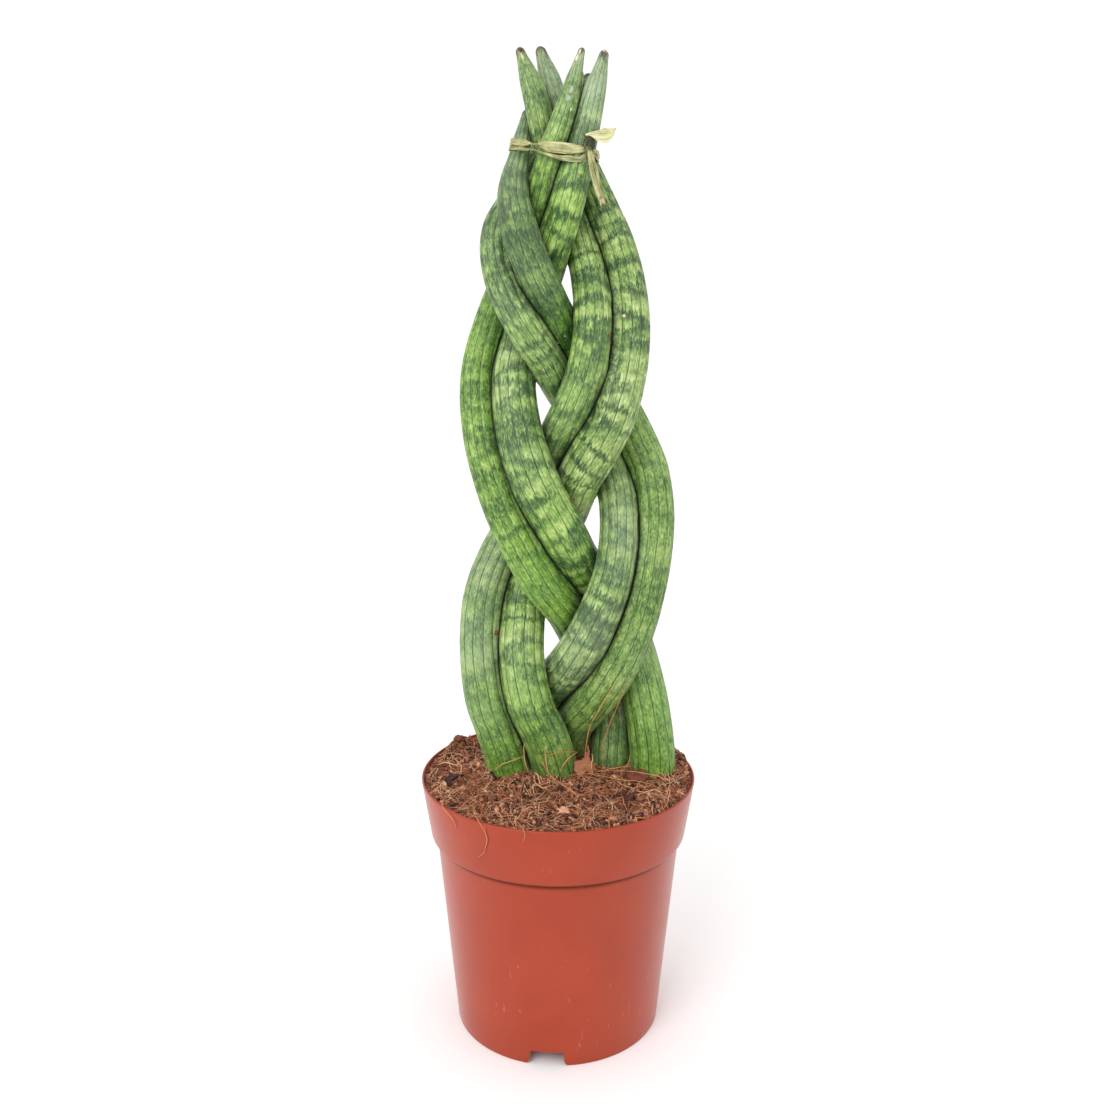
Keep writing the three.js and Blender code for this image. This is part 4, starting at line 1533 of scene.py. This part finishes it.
        def place(around: float, along: float) -> tuple[Vector, Vector]:
            """Gives a point of the ribbon, and its strip value."""
            row = round(along * rows)
            at = min(max(row - 1, 0), len(stations) - 1)
            station = stations[at]
            turn = round(around * self.around) * math.tau / self.around
            across = math.cos(turn) * station.width / 2
            length = lengths[at] + 0.5 * number
            strip = Vector((length, across, dark))
            if row in (0, rows):
                return station.middle, strip
            crease = noise.noise(Vector((length * 90, across * 1500, 0)))
            fold = noise.noise(Vector((length * 260, across * 500, 9)))
            torn = noise.noise(Vector((length * 700, math.copysign(4, across), 0)))
            out = self.thickness * 0.5 * math.sin(turn)
            out += (self.crease * crease + self.fold * fold) * MM
            edge = station.side * across * (1 + self.fray * torn)
            return station.middle + edge + station.facing * out, strip

        bm = wrapped(self.around, rows, place, ("strip",))
        return finished(name, bm, self.fabric)

    def build(self) -> None:
        """Builds the turns, the knot and the loose ends."""
        finish = Raffia()
        self.fabric = finish.material()
        upper = self.turn(self.upper, self.upper_lift)
        lower = self.turn(self.lower, self.lower_lift)
        knot = upper[0].middle.copy()
        pieces = [
            ("raffia_upper_turn", upper, -0.02),
            ("raffia_lower_turn", lower, 0.04),
            # The knot's wrap and bow are darker, as painted shade inside the knot.
            ("raffia_knot_wrap", self.end(knot, self.wrap), 0.2),
            ("raffia_knot_bow", self.end(knot, self.bow), 0.4),
            ("raffia_raised_end", self.end(knot, self.raised), -0.2),
            ("raffia_hanging_end", self.end(knot, self.hanging), 0.02),
        ]
        pieces += [
            (f"raffia_frayed_end_{i + 1}", self.end(knot, rows), 0.05 - 0.45 * (i > 0))
            for i, rows in enumerate(self.prongs)
        ]
        for number, (name, stations, dark) in enumerate(pieces):
            settle(self.ribbon(name, stations, number, dark), finish.slot, "tie")


# ---------------------------------------------------------------- stage


@dataclass
class Studio:
    """Pale floor, soft lights all round and the camera."""

    camera_place: tuple[float, float, float] = (0.00057, -0.4952, 0.3275)
    pitch_down: float = 0.2305
    roll: float = 0.0025
    focal_pixels: float = 1200.0
    frame_pixels: float = 1120.0
    sensor: float = 36.0
    key_place: tuple[float, float, float] = (-0.6, -1.1, 1.1)
    key_aim: tuple[float, float, float] = (0, 0, 0.22)
    key_size: float = 0.8
    key_watts: float = 9
    sky: float = 1.04
    floor_half: float = 8

    def camera(self) -> None:
        """Makes the camera."""
        data = bpy.data.cameras.new("camera")
        data.sensor_width = self.sensor
        data.lens = self.sensor * self.focal_pixels / self.frame_pixels
        data.clip_start = 0.01
        obj = bpy.data.objects.new("camera", data)
        obj.location = self.camera_place
        tilt = Matrix.Rotation(math.pi / 2 - self.pitch_down, 4, "X")
        obj.rotation_euler = (tilt @ Matrix.Rotation(self.roll, 4, "Z")).to_euler()
        bpy.context.collection.objects.link(obj)
        bpy.context.scene.camera = obj

    def lamp(self) -> None:
        """Adds the soft square key light, over the camera's left shoulder."""
        data = bpy.data.lights.new("key", "AREA")
        data.shape = "RECTANGLE"
        data.size = data.size_y = self.key_size
        data.energy = self.key_watts
        obj = bpy.data.objects.new("key", data)
        obj.location = self.key_place
        toward = Vector(self.key_aim) - obj.location
        obj.rotation_euler = toward.to_track_quat("-Z", "Y").to_euler()
        bpy.context.collection.objects.link(obj)

    def floor(self) -> None:
        """Lays the pale floor."""
        bm = bmesh.new()
        bmesh.ops.create_grid(bm, x_segments=8, y_segments=8, size=self.floor_half)
        s = Shading("pale_floor")
        s.set(s.surface, {"Base Color": linear("ffffff"), "Roughness": 0.95})
        finished("floor", bm, s.material)

    def build(self) -> None:
        """Sets up the whole studio."""
        scene = bpy.context.scene
        scene.view_settings.view_transform = "Standard"
        world = bpy.data.worlds.new("studio")
        scene.world = world
        world.use_nodes = True
        sky = world.node_tree.nodes["Background"]
        sky.inputs["Color"].default_value = (1, 1, 1, 1)
        sky.inputs["Strength"].default_value = self.sky
        self.lamp()
        self.floor()
        self.camera()


# ---------------------------------------------------------------- the whole plant


@dataclass
class SnakePlant:
    """The potted, plaited plant."""

    leaves: list[Leaf] = field(
        default_factory=lambda: [
            Leaf(
                "leaf_a1",
                0,
                banding=((60, 0.3), (110, 0.45), (220, 0.5), (245, 0.9), (300, 0.9), (325, 0.6),
                         (350, 0.35)),
                lush=((0, 0.95), (60, 0.7), (90, 0.3), (130, 0.2), (185, 0.2), (215, 0.4),
                      (300, 0.3), (355, 0.1)),
                bloom=((50, 0.1), (90, 0.35), (120, 0.35), (185, 0.35), (210, 0.12),
                       (325, 0.15), (340, 0.2)),
                marks=(
                    (-14.2, -6.5, 410.0, 2.6, 1.1, 0.62), (-14.9, -6.0, 412.3, 1.2, 1.5, 0.02),
                    (-25.9, -4.6, 180.7, 2.3, 2.3, 0.1), (15.5, -14.1, 285.4, 2.4, 1.0, 0.34),
                    (19.7, -12.2, 305.7, 1.6, 0.8, 0.2), (20.2, -11.5, 302.6, 2.2, 0.8, 0.15),
                ),
            ),
            Leaf(
                "leaf_a2",
                1,
                banding=((30, 0.2), (75, 0.7), (95, 1.0), (160, 1.0), (325, 1.1), (345, 0.5)),
                lush=((0, 0.95), (70, 0.75), (95, 0.35), (130, 0.4), (200, 0.15), (300, 0.25), (340, 0.1)),
                bloom=((60, 0.15), (90, 0.16), (120, 0.12), (160, 0.1), (200, 0.14), (300, 0.14),
                       (325, 0.35), (345, 0.6)),
                marks=(
                    (5.9, -7.9, 238.6, 1.3, 1.0, 0.3), (8.4, -3.9, 234.5, 1.6, 1.2, 0.36),
                    (25.8, -7.5, 313.0, 1.3, 1.6, 0.7),
                ),
            ),
            Leaf(
                "leaf_b1",
                2,
                banding=((60, 1.0), (130, 1.0), (145, 0.65), (200, 0.65), (230, 0.8)),
                lush=((60, 0.4), (90, 0.25), (160, 0.2), (225, 0.5), (250, 0.3), (320, 0.4)),
                bloom=((60, 0.22), (90, 0.28), (125, 0.3), (145, 0.4), (165, 0.3), (220, 0.2),
                       (320, 0.2), (350, 0.4)),
            ),
            Leaf(
                "leaf_b2",
                3,
                banding=((210, 0.3), (250, 0.5)),
                plain=(0.66, 0.74),
                lush=((0, 0.6), (60, 0.3), (110, 0.25), (200, 0.4), (240, 0.85), (262, 0.75),
                      (280, 0.1), (400, 0.0)),
                bloom=((60, 0.05), (180, 0.1), (265, 0.02), (295, 0.14), (325, 0.34), (400, 0.45)),
                marks=((2.3, -6.6, 305.0, 0.9, 0.9, 0.95), (-0.5, -5.5, 302.2, 0.7, 0.6, 0.95)),
            ),
            Leaf(
                "leaf_c1",
                4,
                banding=((30, 0.4), (100, 0.2), (140, 0.2), (155, 0.5), (215, 0.5), (235, 0.3),
                         (285, 0.45), (330, 0.4), (350, 0.3)),
                lush=((0, 0.8), (90, 0.35), (115, 0.75), (140, 0.75), (180, 0.45), (250, 0.65),
                      (300, 0.65), (335, 0.4), (355, 0.2)),
                bloom=((80, 0.3), (110, 0.05), (330, 0.05), (350, 0.35), (365, 0.6)),
                marks=(
                    (7.5, -5.7, 412.0, 2.4, 1.0, 0.66), (6.4, -6.2, 409.6, 3.2, 1.1, 0.74),
                    (5.3, -6.6, 406.9, 1.8, 0.7, 0.55), (4.4, -9.7, 397.5, 3.2, 1.7, 1.0),
                    (3.3, -10.4, 394.3, 2.6, 2.1, 1.0), (4.3, -10.7, 390.2, 1.5, 0.8, 0.72),
                ),
            ),
            Leaf(
                "leaf_c2",
                5,
                banding=((90, 0.25), (120, 0.9), (240, 0.9), (280, 1.0), (330, 1.0), (345, 0.4)),
                lush=((0, 0.9), (60, 0.75), (90, 0.4), (125, 0.8), (160, 0.5), (200, 0.3),
                      (250, 0.3), (290, 0.6), (330, 0.45), (350, 0.1)),
                bloom=((30, 0.08), (80, 0.15), (120, 0.05), (170, 0.08), (200, 0.22), (270, 0.14),
                       (300, 0.05), (330, 0.3), (350, 0.85)),
                marks=((16.6, -5.4, 412.6, 1.0, 1.4, 0.66), (18.3, -5.1, 412.2, 0.9, 1.2, 0.6)),
            ),
        ]
    )

    def build(self) -> None:
        """Builds every piece."""
        skin = LeafSkin().material()
        for leaf in self.leaves:
            leaf.measure()
        grown = [
            leaf.build(skin, [other for other in self.leaves if other is not leaf])
            for leaf in self.leaves
        ]
        for leaf, skinned in zip(self.leaves, grown):
            leaf.scars(skinned)
        Pot().build()
        Soil().build()
        Tie(grown).build()


def main() -> None:
    """Builds the studio and the plant."""
    logging.basicConfig(level=logging.INFO, format="%(name)s %(message)s")
    noise.seed_set(NOISE_SEED)
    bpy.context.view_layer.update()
    Studio().build()
    SnakePlant().build()


if __name__ == "__main__":
    main()
